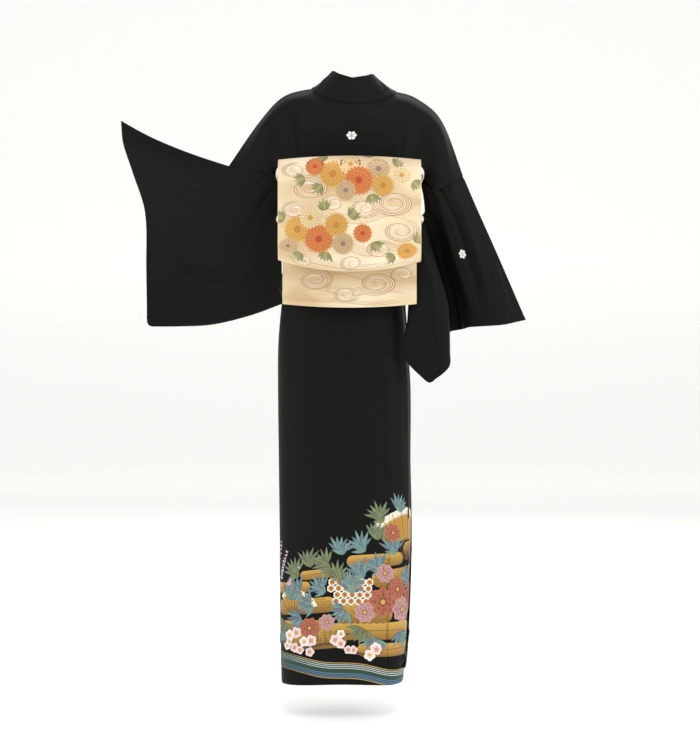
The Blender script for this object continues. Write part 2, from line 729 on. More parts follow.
def addFan(picture, pivot, radius, start, end, ribs, look, level):
    # a half-open folding fan: leaf, painted edge and ribs
    leaf, shade, edge = (dye(look[k]) for k in ("leaf", "shade", "edge"))
    folds = np.linspace(start, end, 2 * ribs + 1)
    reaches = np.linspace(radius * 0.42, radius, max(int(radius * 0.58 / 5), 3))
    points, dyes = [], []
    for k, angle in enumerate(folds):
        for reach in reaches:
            points.append(around(pivot, reach, angle))
            dyes.append(edge if reach > radius * 0.9 else blend(leaf, shade, 0.5 * (k % 2)))
    addShape(picture, points, sheetQuads(len(folds), len(reaches)), dyes, level, True)
    for angle in folds[::2]:
        tip = np.array([math.cos(angle), math.sin(angle)])
        addRibbon(picture, [np.array(pivot) + tip * radius * t for t in (0.02, 0.5, 0.97)], 1.6,
                  dye(look["rib"]), level + 1, taper=False, step=8.0)


def addTiles(picture, start, columns, rows, size, look, level):
    # a slanted patch of tortoiseshell hexagons, white round a gold cell with a red heart
    for row in range(rows):
        for column in range(columns):
            centre = np.add(start, ((column + 0.5 * (row % 2) - 0.35 * row) * size * 1.732,
                                    row * size * 1.5))
            for k, (share, tone) in enumerate(((0.99, "white"), (0.68, "gold"), (0.3, "red"))):
                reach = size * share
                corners = [centre + reach * np.array([math.sin(a * math.pi / 3),
                        math.cos(a * math.pi / 3)]) for a in range(6)]
                addShape(picture, [centre, *corners], [(0, 1 + (a + 1) % 6, 1 + a) for a in range(6)],
                         [dye(look[tone])] * 7,
                         level + k, tone == "gold")


def addRosette(picture, centre, radius, lobes, level):
    # a plain white rosette stands for the house crest
    white, black = dye("#f2f0ea"), dye("#121211")
    addDisc(picture, centre, radius, white, white, level, lobes, 0.22)
    for k in range(lobes):
        angle = math.pi / lobes + 2 * math.pi * k / lobes
        tip = np.array([math.cos(angle), math.sin(angle)])
        addRibbon(picture, [np.array(centre) + tip * radius * t for t in (0.3, 0.6, 0.92)], 0.8, black,
                  level + 1, taper=False, step=3.0)
    addDisc(picture, centre, radius * 0.26, black, black, level + 1)
    addDisc(picture, centre, radius * 0.18, white, white, level + 2)


def layPicture(name, picture, cloth, slot, cuts=(), limits=None, toPlace=None):
    # cuts are seams, where the picture is parted, and limits the edges of the cloth
    mesh = bpy.data.meshes.new(name)
    mesh.from_pydata(picture["verts"], [], picture["faces"])
    mesh.materials.append(printedSilk)
    mesh.materials.append(goldWeft)
    mesh.polygons.foreach_set("material_index", picture["gold"])
    layer = mesh.color_attributes.new("dye", "FLOAT_COLOR", "POINT")
    layer.data.foreach_set("color", np.array(picture["dyes"], np.float32).ravel())
    body = bmesh.new()
    body.from_mesh(mesh)
    bare = 0.7  # half of the strip along a seam that carries no picture

    def split(at, way, keepAbove=None):
        edge, normal = [0, 0, 0], [0, 0, 0]
        edge[way], normal[way] = at, 1
        bmesh.ops.bisect_plane(body, geom=body.verts[:] + body.edges[:] + body.faces[:], plane_co=edge,
                               plane_no=normal,
                               clear_inner=keepAbove is True, clear_outer=keepAbove is False)

    for cut in cuts:
        for away in (bare, 1.8, 3.2, 5, 7.5, 11):  # close lines beside a seam, to follow its ridge
            split(cut - away, 0)
            split(cut + away, 0)
        inside = [f for f in body.faces if abs(f.calc_center_median().x - cut) < bare]
        bmesh.ops.delete(body, geom=inside, context="FACES")
    if limits:
        (left, right), (low, high) = limits
        split(left, 0, True)
        split(right, 0, False)
        split(low, 1, True)
        split(high, 1, False)
    flat = np.array([v.co[:] for v in body.verts])
    u, v = (flat[:, 0], flat[:, 1]) if toPlace is None else toPlace(flat[:, 0], flat[:, 1])
    points, normals = layOn(cloth, u, v, inkLift + flat[:, 2] * inkStep)
    for vert, point in zip(body.verts, points * toMetres):
        vert.co = point
    body.verts.index_update()
    body.normal_update()
    for f in body.faces:
        if np.dot(f.normal[:], normals[f.verts[0].index]) < 0:
            f.normal_flip()
    body.to_mesh(mesh)
    body.free()
    smooth(mesh)
    wear(putInScene(name, mesh), slot)
    print(name, len(mesh.polygons), "faces")


# Skirt: one long sheet wound round the figure, cut into its panels. "fromSeam" runs along the cloth from
# the middle back seam, negative towards the wearer's left, and "height" is above the hem.
skirt = {
    "top": -335, "hem": -1325, "hemRise": 8, "seamShift": 98, "edgeLift": 34,
    "backWidth": 300, "frontWidth": 240, "overlapWidth": 150,
    "wall": 1.6, "seamGap": 0.5, "step": 6.0,
    "under": -4, "over": 0,
    "seamFold": 1.5,  # how deep the pressed seams lie
    "kise": {"at": -5, "height": 1.3, "width": 3.2},  # the fold that covers the middle back seam
}
skirtEdge = skirt["backWidth"] + skirt["frontWidth"] + skirt["overlapWidth"]
skirtSeams = [-540, -300, 0, 300, 540]


def skirtBottom(fromSeam):
    whole = wholeGirth(skirt["hem"])
    back = np.maximum(np.cos((fromSeam + skirt["seamShift"]) / whole * 2 * np.pi), 0)
    lift = skirt["edgeLift"] * ease((np.abs(fromSeam) - 470) / (skirtEdge - 470)) ** 1.5
    return skirt["hem"] + skirt["hemRise"] * back ** 2 + lift + 2 * ease(fromSeam / 60)


# long soft folds in the skirt, as (fromSeam, height) in millimetres
skirtFolds = [
    ([(-4, 900), (-3, 560), (0, 120)], 1.2, 7), ([(16, 930), (20, 600), (24, 330)], -1.6, 10),
    ([(58, 900), (64, 500), (62, 60)], 1.5, 9), ([(80, 880), (86, 420), (84, 30)], -1.8, 12),
    ([(-120, 960), (-112, 760), (-108, 620)], -1.8, 16), ([(-178, 950), (-190, 720), (-196, 540)], 1.6, 20),
    ([(-240, 700), (-226, 420), (-222, 200)], -1.4, 24), ([(-60, 420), (-74, 220), (-70, 60)], 1.2, 22),
    ([(-330, 940), (-350, 620), (-342, 260)], -2.2, 22), ([(-420, 900), (-440, 500), (-470, 160)], 1.8, 26),
    ([(-500, 930), (-520, 640), (-560, 300)], -2.0, 22), ([(-600, 900), (-612, 500), (-640, 120)], 1.6, 18),
    ([(150, 900), (160, 600), (150, 240)], -1.8, 22), ([(230, 880), (226, 480), (232, 160)], 1.4, 20),
]


def skirtGrid(fromSeam, share, out=0.0):
    # share runs from 0 at the top to 1 at the hem
    fromSeam, share = np.broadcast_arrays(fromSeam, share)
    bottom = skirtBottom(fromSeam)
    z = mix(skirt["top"], bottom, share)
    layer = mix(skirt["over"], skirt["under"], ease(fromSeam / 60))
    grid = onFigure(fromSeam + skirt["seamShift"], z, layer + out)
    height = (1 - share) * (skirt["top"] - bottom)
    press = np.zeros(fromSeam.shape)
    for seam in skirtSeams:
        press -= skirt["seamFold"] * ridge(fromSeam - seam, 2.2)
    kise = skirt["kise"]
    press += kise["height"] * ridge(fromSeam - kise["at"], kise["width"])
    # the cloth turns in over its lining at the hem
    press -= 1.2 * ridge(height, 2.5)
    field = press * (np.abs(fromSeam) < skirtEdge - 1)
    place = np.stack([fromSeam, height], -1)
    return creased(grid, place, skirtFolds, outside=-1) - normalsOf(grid, False) * field[..., None]


def buildSkirt():
    edges = [0, -300, -540, -skirtEdge], [0, 300, 540, skirtEdge]
    names = ["skirt_back_left", "skirt_front_left", "okumi_left"], ["skirt_back_right", "skirt_front_right",
            "okumi_right"]
    for side, panels in zip(edges, names):
        for name, start, end in zip(panels, side[:-1], side[1:]):
            gap = math.copysign(skirt["seamGap"] / 2, end - start)
            across = np.linspace(start + gap, end - gap, int(abs(end - start) / skirt["step"]) + 1)
            # closer rows of points beside the seams
            near = np.array([0.8, 1.7, 2.8, 4.2]) * math.copysign(1, gap)
            across = np.sort(np.concatenate([across, start + near, end - near]))
            down = np.concatenate([np.linspace(0, 0.985, 120), [0.99, 0.994, 0.997, 1.0]])
            s, v = np.meshgrid(across, down)
            grid = skirtGrid(s, v)
            flat = np.stack([s, (1 - v) * (skirt["top"] - skirtBottom(s))], -1)
            piece = clothShell("cloth_" + name, grid, flat, skirt["wall"], blackCrepe, outside=-1)
            keepFace(name, across, down, grid, skirt["wall"], -1)
            wear(piece, "silk", name)
    joinFaces("skirt", [(name, 1) for panels in names for name in panels])


# Collar landmarks from the middle of the back over the shoulder and down the front
collar = {
    "along": [0, 55, 105, 142, 180, 240, 330, 430, 500, 560],
    "seam": [(5, -97, -35), (-47, -80, -23), (-77, -34, 1), (-85, -3, 13), (-84, 28, -2), (-70, 64, -38),
             (-34, 94, -108), (14, 0, -186), (44, 0, -248), (70, 0, -300)],
    "rim": [(5, -92, 22), (-22, -76, 33), (-38, -40, 46), (-44, -4, 43), (-42, 30, 31), (-26, 60, 3),
            (16, 88, -64), (64, 0, -150), (98, 0, -216), (124, 0, -268)],
    "middle": 5, "rightDrop": 7, "rightOut": 8, "crossing": 11, "behind": -0.4,
    "clear": -1 / 57, "wall": 2.6, "width": 57,
    "roll": {"height": 1.5, "at": 2.2, "width": 4.5},
}
layerBody = 3.6
layerOver = 7.4
bodice = {"wall": 1.6, "seamGap": 0.05, "foldGap": 0.2, "armholeGap": 0.8, "down": 500, "tuckCut": 370}
backAcross = {"middle": 0, "nape": 50, "side": 80, "neck": 100, "point": 165, "arm": 235, "armhole": 320}
frontAcross = {"armhole": 0, "arm": 85, "point": 155, "chest": 200, "edge": 240}


def collarPoint(line, along, right):
    rows = []
    for at, (x, y, z) in zip(collar["along"], collar[line]):
        if not right:
            rows.append(onFront(x, z, layerOver) if at >= 430 else (x, y, z))
            continue
        near = ease(at / 100) * ease((330 - at) / 150)
        mx = 2 * collar["middle"] - x + collar["rightOut"] * near * (1 if line == "seam" else 0.3)
        if at >= 430:
            rows.append(onFront(mx, z, collar["behind"]))
        else:
            rows.append((mx, y - collar["crossing"] * ease((at - 180) / 120),
                         z - collar["rightDrop"] * near))
    return through(collar["along"], np.array([np.asarray(r, float) for r in rows]), along)


# Bodice landmarks, one row for each level: how far down it lies, then its points in the order of backAcross
# and frontAcross without the armhole. A single number is a place along the collar's seam.
bodiceRows = {
    "back_left": [
        (0, 0, 55, 105, 142, (-150, 2, -4), (-204, 8, -59)),
        (45, (4, -101, -80), (-49, -97, -66), (-78, -84, -42), (-97, -68, -26), (-150, -50, -36),
         (-199, -38, -84)),
        (105, (3, -104, -132), (-50, -104, -128), (-80, -100, -118), (-100, -94, -108), (-141, -66, -102),
         (-180, -50, -128)),
        (180, (2, -104, -182), (-50, -103, -181), (-80, -98, -180), (-97, -90, -179), (-126, -72, -177),
         (-148, -48, -176)),
    ],
    "back_right": [
        (0, 0, 55, 105, 142, (152, 2, -9), (207, 6, -58)),
        (45, (4, -101, -80), (57, -97, -68), (88, -84, -46), (106, -68, -30), (152, -52, -44),
         (205, -42, -92)),
        (105, (3, -104, -132), (56, -104, -128), (86, -100, -118), (104, -94, -110), (144, -68, -110),
         (188, -56, -142)),
        (180, (2, -104, -182), (54, -103, -181), (84, -98, -180), (100, -90, -179), (128, -72, -179),
         (150, -50, -182)),
    ],
    "front_left": [
        (0, (-204, 8, -59), (-150, 2, -4), (-112, -1, 6), 142),
        (45, (-200, 50, -88), (-150, 58, -40), (-112, 66, -30), 212),
        (105, (-176, 66, -136), (-138, 88, -110), (-88, 102, -102), 318),
        (180, (-148, 60, -178), (-124, 86, -176), (-62, 104, -176), 424),
    ],
    "front_right": [
        (0, (207, 6, -58), (152, 2, -9), (120, -1, 2), 142),
        (45, (206, 48, -92), (152, 56, -46), (118, 64, -34), 212),
        (105, (184, 64, -146), (142, 84, -116), (96, 96, -104), 318),
        (180, (150, 56, -182), (126, 84, -178), (70, 97, -177), 424),
    ],
}
armholes = {
    "left": [
        {"down": 0, "back": (-275, 10, -160), "front": (-275, 10, -160)},
        {"down": 45, "back": (-236, -22, -170), "front": (-246, 44, -180)},
        {"down": 105, "back": (-182, -34, -182), "front": (-198, 60, -196)},
        {"down": 180, "back": (-156, -14, -183), "front": (-159, 28, -183)},
    ],
    "right": [
        {"down": 0, "back": (257, 10, -185), "front": (257, 10, -185)},
        {"down": 45, "back": (224, -36, -206), "front": (234, 42, -212)},
        {"down": 105, "back": (190, -44, -222), "front": (200, 50, -226)},
        {"down": 180, "back": (156, -14, -186), "front": (159, 30, -186)},
    ],
}
# under the obi the bodice lies on the figure, puffs out in the waist tuck and folds back up
tuckRows = [dict(zip(("down", "z", "puff", "reach"), row)) for row in (
    (192, -190, 0, 16), (222, -216, 0, 28), (300, -294, 0, 67), (374, -368, 0, 60),
    (408, -402, 5, 60), (440, -434, 6.2, 60), (449, -442, 5.8, 60), (454, -444.4, 3.6, 60),
    (459, -442, 1.4, 60), (468, -434, 1, 60), (500, -405, 0, 60),
)]


def bodicePoint(name, across, down):
    # across and down are lists of places on the cut panel; the answer is grid[down, across]
    face, side = name.split("_")
    right = side == "right"
    places = backAcross if face == "back" else frontAcross
    across = np.atleast_1d(np.asarray(across, float))
    downs, lines = [], []
    for (level, *marks), armhole in zip(bodiceRows[name], armholes[side]):
        marks.insert(len(marks) if face == "back" else 0, armhole[face])
        points = [np.asarray(mark, float) if isinstance(mark, tuple) else collarPoint("seam", mark,
                right)[0]
                  for mark in marks]
        downs.append(level)
        lines.append(through(list(places.values()), np.array(points), across))
    for row in tuckRows:
        half = wholeGirth(row["z"]) / 2
        if face == "back":
            girth = across / places["armhole"] * half / 2
            over = np.zeros(len(across))
        else:
            past = row["reach"] - (2 * collar["middle"] if right else 0)
            girth = mix(half / 2, half + past, across / places["edge"])
            over = ease((girth - 0.5 * half) / (0.18 * half)) if not right else np.zeros(len(across))
        out = mix(layerBody, layerOver, over) + row["puff"]
        downs.append(row["down"])
        lines.append(onFigure(girth if right else -girth, row["z"], out))
    return through(downs, np.array(lines), down, True)


# soft folds of the bodice, as (across, down) in millimetres on the cut panel
bodiceFolds = {
    "back_left": [
        ([(122, 26), (116, 70), (106, 120), (104, 176)], 3.2, 8, 0.35),
        ([(134, 34), (129, 80), (121, 130), (120, 178)], -4.6, 9, 0.35),
        ([(210, 60), (180, 120), (160, 176)], -2.4, 14), ([(262, 60), (220, 120), (190, 172)], 2.2, 12),
        ([(40, 90), (62, 132), (70, 180)], -0.9, 14),
    ],
    "back_right": [
        ([(118, 30), (112, 76), (104, 120), (102, 178)], 3.0, 8, 0.35),
        ([(130, 36), (125, 82), (118, 130), (117, 178)], -4.6, 9, 0.35),
        ([(196, 60), (176, 120), (150, 176)], -2.6, 13), ([(250, 60), (212, 120), (176, 172)], 2.4, 13),
        ([(290, 40), (262, 100), (214, 158)], -2.4, 10), ([(44, 84), (70, 120), (84, 170)], -1.0, 13),
    ],
    "front_left": [
        ([(150, 30), (168, 90), (190, 170)], -3.2, 12), ([(110, 30), (122, 90), (140, 176)], 3.0, 13),
        ([(60, 40), (84, 100), (104, 176)], -2.6, 12),
    ],
    "front_right": [
        ([(146, 30), (160, 90), (178, 170)], -3.0, 12), ([(104, 30), (118, 90), (136, 176)], 2.8, 13),
        ([(56, 40), (82, 100), (100, 176)], -2.6, 12),
    ],
}


def buildBodice():
    for name in bodiceRows:
        face, side = name.split("_")
        places = backAcross if face == "back" else frontAcross
        width = list(places.values())[-1]
        gaps = (bodice["seamGap"] / 2, bodice["armholeGap"] / 2)
        first, last = (gaps[0], width - gaps[1]) if face == "back" else (gaps[1], width - gaps[0])
        seam = 0 if face == "back" else width
        near = np.array([0.8, 1.7, 2.8, 4.2])
        across = np.concatenate([np.linspace(first, last, 90), abs(seam - near), abs(width - seam - near)])
        across = np.sort(across)
        deep = bodice["tuckCut"] if name == "front_right" else bodice["down"]
        down = np.concatenate([[0, 0.8, 1.6, 3], np.linspace(5, deep, 150)])
        start = np.where((face == "back") & (across < places.get("side", 0)), bodice["seamGap"],
                         bodice["foldGap"]) / 2
        grid = bodicePoint(name, across, down)
        ends = bodicePoint(name, across, np.unique(start))
        grid[0] = np.where((start == start.min())[:, None], ends[0], ends[-1])
        a, d = np.meshgrid(across, down)
        outside = 1 if side == "left" else -1
        place = np.stack([a, d], -1)
        grid = creased(grid, place, bodiceFolds[name], outside=outside)
        press = -1.3 * ridge(a - seam, 2.2) * (d < 200)
        press -= 1.0 * ridge(a - (width - seam), 2.4) * (d < 190)
        grid = grid + normalsOf(grid, False) * outside * press[..., None]
        piece = clothShell("cloth_" + name, grid, place, bodice["wall"], blackCrepe, outside=outside)
        keepFace(name, across, down, grid, bodice["wall"], outside)
        wear(piece, "silk", name)
    joinFaces("back", [("back_left", -1), ("back_right", 1)])


sewnTo = {"back": ([0, 55, 105, 142], [0, 50, 80, 100]), "front": ([142, 212, 318, 424, 500, 560],
        [0, 45, 105, 180, 254, 306])}


def collarSeam(along, right):
    side = "right" if right else "left"
    points = np.zeros((len(along), 3))
    atBack = along < 142
    if atBack.any():
        at = through(*sewnTo["back"], along[atBack])
        points[atBack] = bodicePoint("back_" + side, at, 0)[0]
    at = through(*sewnTo["front"], along[~atBack])
    points[~atBack] = bodicePoint("front_" + side, frontAcross["edge"], at)[:, 0]
    return points


def girthNear(point, z):
    # how far round the figure the nearest place of its front lies
    i = min(int(round((z - levels[0]) / levelStep)), len(levels) - 1)
    row = figureRows[i]
    front = np.nonzero(row[:, 1] > 0)[0]
    nearest = front[np.argmin(np.hypot(row[front, 0] - point[0], row[front, 1] - point[1]))]
    return nearest / turnSteps * wholeGirth(z)


def buildCollar():
    alongs = np.concatenate([np.linspace(560, 4, 150), [0], np.linspace(4, 560, 150)])
    rights = np.arange(len(alongs)) < 150
    across = np.concatenate([[collar["clear"], 0.01, 0.03, 0.05, 0.07], np.linspace(0.09, 0.93, 16),
                             [0.97, 1]])
    grid = np.zeros((len(across), len(alongs), 3))
    for right in (True, False):
        chosen = np.nonzero(rights == right)[0]
        seam = collarSeam(alongs[chosen], right)
        rim = collarPoint("rim", alongs[chosen], right)
        for k, s, r in zip(chosen, seam, rim):
            standing = mix(s, r, across[:, None])
            z = np.minimum(standing[:, 2], -150)
            low = ease((alongs[k] - 370) / 60)
            if low > 0:
                out = collar["behind"] if right else layerOver + 0.8 * across * ease((z + 208 + 7) / 25)
                girths = [mix(girthNear(s, h), girthNear(r, h), c) for h, c in zip(z, across)]
                lying = onFigure(np.array(girths), z, out)
                share = (low * np.minimum(4 * across, 1))[:, None]
                standing[:, :2] = mix(standing, lying, share)[:, :2]
            grid[:, k] = standing
    u, v = np.meshgrid(np.where(rights, -alongs, alongs), across * collar["width"])
    place = np.stack([u, v], -1)
    # the fold of the collar's upper edge is soft, and it dips a little where it turns over the shoulders
    grid = creased(grid, place, [
        ([(-150, 30), (-60, 26), (60, 26), (150, 30)], 1.2, 15),
        ([(-116, 56), (-96, 30), (-92, 4)], -1.5, 9), ([(116, 56), (96, 30), (92, 4)], -1.5, 9),
        ([(40, 20), (90, 24), (150, 40)], 0.9, 5),
    ], outside=-1)
    # its sewn edge is rolled, so it stands proud of the panels
    roll = collar["roll"]["height"] * ridge(v - collar["roll"]["at"], collar["roll"]["width"])
    grid -= normalsOf(grid, False) * roll[..., None]
    piece = clothShell("cloth_collar", grid, place, collar["wall"], blackCrepe, outside=-1)
    wear(piece, "silk", "collar")


def buildTuck():
    reach, start = 189, 330
    u = np.linspace(0, 1, 40)
    lines = []
    for row in tuckRows:
        half = wholeGirth(row["z"]) / 2
        lines.append(onFigure(-(half + mix(row["reach"] + bodice["seamGap"], reach, u)), row["z"],
                              layerOver + row["puff"]))
    down = np.linspace(start, bodice["down"], 60)
    grid = through([row["down"] for row in tuckRows], np.array(lines), down)
    a, d = np.meshgrid(u * (reach - 60), down)
    place = np.stack([a, d], -1)
    piece = clothShell("cloth_okumi_tuck_left", grid, place, bodice["wall"], blackCrepe, outside=1)
    wear(piece, "silk", "okumi_tuck_left")


# Sleeves: lines across the bag from its shoulder end to its cuff, each with its points from the top fold
# down. "room" is how far apart the two faces stand.
sleeve = {
    "width": 340, "length": 490, "corner": 14, "armhole": 230, "wall": 1.6, "foldEdge": 8,
    "sewnReach": 0.25, "looseEnd": 60, "turnEnd": 20,
    "left": {
        "down": [0, 60, 120, 230, 360, 490],
        "side": 1,  # turns the faces' normal to the back
        "openRoom": 9, "innerTurn": 0,
        "open": [(360, (-158, 56, -336)), (490, (-158, 84, -468))],
        "lines": [
            {"along": 0.25, "line": [(-342, 48, -134), (-318, 50, -176), (-298, 54, -232), (-262, 68, -326),
                                     (-245, 88, -412), (-234, 112, -494)], "room": [0, 44, 44, 24, 14, 8]},
            {"along": 0.5, "line": [(-409, 87, -105), (-396, 86, -150), (-382, 90, -210), (-356, 102, -318),
                                    (-336, 116, -420), (-322, 132, -514)], "room": [0, 38, 36, 18, 12, 8]},
            {"along": 0.75, "line": [(-475, 126, -72), (-462, 122, -118), (-446, 122, -178),
                                     (-424, 128, -290),
                                     (-410, 136, -402), (-402, 144, -518)], "room": [0, 34, 30, 14, 10, 7]},
            {"along": 1, "line": [(-542, 165, -32), (-526, 162, -90), (-507, 160, -150), (-482, 158, -250),
                                  (-480, 155, -380), (-478, 150, -518)], "room": [0, 26, 22, 6, 4, 4]},
        ],
        # folds as (along, down) in millimetres: "down" is positive on the back face, negative on the front
        "folds": [
            ([(4, 70), (40, 60), (90, 44), (150, 30)], -2.6, 9, 0),
            ([(2, 110), (44, 92), (104, 82), (170, 64)], 3.4, 13, 0),
            ([(6, 150), (60, 136), (130, 130), (200, 118)], -3.4, 15, 0),
            ([(4, 196), (60, 200), (140, 214), (230, 214)], 2.4, 19, 0),
            ([(60, 300), (120, 318), (190, 322), (250, 300)], -4.2, 13),
            ([(40, 330), (110, 352), (190, 352), (262, 322)], 3.2, 14),
            ([(24, 250), (80, 262), (160, 266)], -2.2, 17),
            ([(230, 60), (250, 160), (262, 280), (268, 400)], 1.8, 24),
            ([(150, 390), (200, 430), (280, 452)], -2.0, 18), ([(30, 420), (90, 440), (170, 452)], 1.8, 16),
            ([(6, -80), (60, -70), (140, -50)], 3.0, 12, 0),
            ([(6, -140), (70, -130), (170, -118)], -3.4, 14, 0),
            ([(40, -300), (140, -320), (240, -290)], 3.4, 18),
            ([(60, -380), (160, -400), (260, -360)], -3.0, 18),
        ],
    },
    "right": {
        "down": [0, 80, 170, 222, 265, 330, 400, 490],
        "side": -1,
        "openRoom": 6, "innerTurn": 0.1,
        "open": [(265, (165, 8, -222)), (330, (164, -12, -262)), (400, (156, -62, -300)),
                 (490, (138, -70, -340))],
        "lines": [
            {"along": 0.12, "line": [(274, 11, -225), (232, -4, -250), (196, -4, -263), (185, 10, -266),
                                     (167, -2, -280), (162, -26, -304), (153, -76, -334), (135, -74, -381)],
             "room": [0, 40, 24, 12, 8, 8, 8, 8]},
            {"along": 0.25, "line": [(293, 12, -268), (247, -10, -288), (212, -10, -312), (214, 24, -334),
                                     (189, 24, -346), (177, -25, -354), (171, -88, -378), (132, -78, -425)],
             "room": [0, 40, 20, 8, 6, 6, 8, 8]},
            {"along": 0.5, "line": [(329, 14, -348), (282, -8, -368), (234, -6, -390), (234, 34, -408),
                                    (208, 34, -418), (200, -20, -430), (199, -92, -460), (127, -85, -510)],
             "room": [0, 36, 18, 8, 6, 6, 8, 8]},
            {"along": 0.75, "line": [(364, 16, -428), (314, -6, -446), (256, -4, -460), (250, 38, -472),
                                     (222, 38, -482), (211, -18, -494), (209, -94, -525), (119, -90, -590)],
             "room": [0, 32, 16, 8, 6, 6, 8, 7]},
            {"along": 1, "line": [(399, 20, -508), (345, 2, -519), (272, 0, -524), (256, 34, -528),
                                  (228, 34, -534), (213, -15, -549), (217, -88, -612), (174, -92, -653)],
             "room": [0, 26, 14, 6, 5, 5, 5, 4]},
        ],
        "folds": [
            ([(4, 60), (70, 66), (170, 80), (300, 92)], 3.4, 10, 0),
            ([(4, 104), (80, 104), (180, 112), (320, 120)], -4.4, 11, 0),
            ([(10, 140), (80, 146), (200, 150), (330, 152)], 3.6, 10),
            ([(120, 40), (200, 60), (300, 92)], -3.6, 10), ([(180, 24), (250, 40), (330, 60)], 3.0, 10),
            ([(30, 172), (140, 178), (320, 186)], -2.4, 9), ([(20, 370), (120, 372), (260, 384)], 2.4, 10),
            ([(60, 430), (180, 440), (300, 446)], -3.2, 12), ([(30, 404), (150, 408), (310, 414)], -2.4, 9),
            ([(10, -60), (100, -68), (260, -84)], 4.6, 11, 0),
            ([(10, -88), (100, -98), (280, -112)], -4.6, 11, 0),
            ([(10, -120), (110, -130), (300, -144)], 4.6, 11, 0),
            ([(120, -30), (220, -48), (320, -70)], -4.0, 10),
            ([(20, -390), (140, -396), (300, -404)], 3.6, 10),
            ([(20, -430), (140, -440), (300, -446)], -3.6, 11),
        ],
    },
}


def sleeveMiddle(side, alongs, downs):
    # the middle of the bag; at the armhole its faces are sewn to the panels
    cut = sleeve[side]
    holes = armholes[side]
    places = [h["down"] for h in holes]
    level = np.minimum(downs, sleeve["armhole"]) * places[-1] / sleeve["armhole"]
    back = through(places, [h["back"] for h in holes], level, True)
    half = (back + through(places, [h["front"] for h in holes], level, True)) / 2
    end = (np.array(holes[-1]["back"]) + holes[-1]["front"]) / 2
    hanging = through([sleeve["armhole"], *[d for d, _ in cut["open"]]],
                      [end, *[p for _, p in cut["open"]]], downs)
    inner = np.where((downs <= sleeve["armhole"])[:, None], half, hanging)
    lines = [through(cut["down"], row["line"], downs) for row in cut["lines"]]
    return through([0, *[row["along"] for row in cut["lines"]]], [inner, *lines], alongs,
                   each=True), back - half


def sleeveFace(side, face, alongs, downs):
    # points of one face, back 1 or front -1
    cut = sleeve[side]
    point, spread = sleeveMiddle(side, alongs, downs)

    def near(moreAlong, moreDown):
        return sleeveMiddle(side, np.clip(alongs + moreAlong, 0, 1), np.clip(downs + moreDown, 0,
                sleeve["length"]))[0]

    outward = unit(np.cross(near(0.01, 0) - near(-0.01, 0), near(0, 3) - near(0, -3)) * cut["side"])
    places = [row["along"] for row in cut["lines"]]
    rooms = [through(cut["down"], np.array(row["room"])[:, None], downs, True) for row in cut["lines"]]
    room = through(places, rooms, alongs, True, each=True)[:, 0]
    onPanel = 1 - ease(alongs / sleeve["sewnReach"])
    loose = ease((downs - sleeve["armhole"]) / sleeve["looseEnd"])
    share = onPanel * (1 - loose)
    apart = mix(room, mix(cut["openRoom"], room, 1 - onPanel), loose) * (1 - share) / 2
    return point + face * (spread * share[:, None] + outward * apart[:, None])


def sleeveGrid(side, places, drops):
    # the bag as a ring: down the back face, round the bottom fold and up the front face
    last = sleeve["length"]
    v, q = [a.ravel() for a in np.meshgrid(places, drops, indexing="ij")]
    intoCorner = np.maximum(v * sleeve["width"] - (sleeve["width"] - sleeve["corner"]), 0)
    cut = sleeve["corner"] - np.sqrt(np.maximum(sleeve["corner"] ** 2 - intoCorner ** 2, 0))
    downs = q - cut * ease((q - 400) / 90)
    alongs = mix(sleeve[side]["innerTurn"] * ease((q - sleeve["armhole"]) / sleeve["turnEnd"]), 1, v)
    back = sleeveFace(side, 1, alongs, downs)
    front = sleeveFace(side, -1, alongs, downs)
    apart = np.minimum(ease(q / sleeve["foldEdge"]), ease((last - q) / sleeve["foldEdge"]))[:, None]
    shape = (len(places), len(drops), 3)
    middle = (back + front) / 2
    back, front = mix(middle, back, apart).reshape(shape), mix(middle, front, apart).reshape(shape)
    return np.concatenate([back, front[:, -2:0:-1]], 1)


def buildSleeves():
    # closer rows at the two folds and beside the seam and the rounded corner
    drops = np.concatenate([[0, 1, 2.2, 3.6, 5.4, 8], np.linspace(12, 478, 118),
                            [482, 484.6, 486.4, 487.8, 489, 490]])
    rounded = 1 - sleeve["corner"] / sleeve["width"] * np.array([0.9, 0.75, 0.6, 0.45, 0.3, 0.2, 0.12, 0.06,
            0.02, 0])
    places = np.concatenate([[bodice["armholeGap"] / 2 / sleeve["width"], 0.005, 0.010],
                             np.linspace(0.018, 0.955, 84), rounded])
    for side in ("left", "right"):
        grid = sleeveGrid(side, places, drops)
        signed = np.concatenate([drops, -drops[-2:0:-1]])
        s, d = np.meshgrid(signed, places * sleeve["width"])
        place = np.stack([d, s], -1)
        outside = -1 if side == "left" else 1
        grid = creased(grid, place, sleeve[side]["folds"], ring=True, outside=outside)
        # pressed seams at the armhole, and the cuff's edge turned in
        press = -1.2 * ridge(d, 2.4) * (np.abs(s) < sleeve["armhole"])
        press += 0.7 * ridge(d - sleeve["width"] + 4, 3)
        grid = grid + normalsOf(grid, True) * outside * press[..., None]
        piece = clothShell("cloth_sleeve_" + side, grid, place, sleeve["wall"], blackCrepe, ring=True,
                           outside=outside)
        backFace = grid[:, :len(drops)].transpose(1, 0, 2)
        keepFace("sleeve_" + side, places * sleeve["width"], drops, backFace, sleeve["wall"], -outside)
        wear(piece, "silk", "sleeve_" + side)


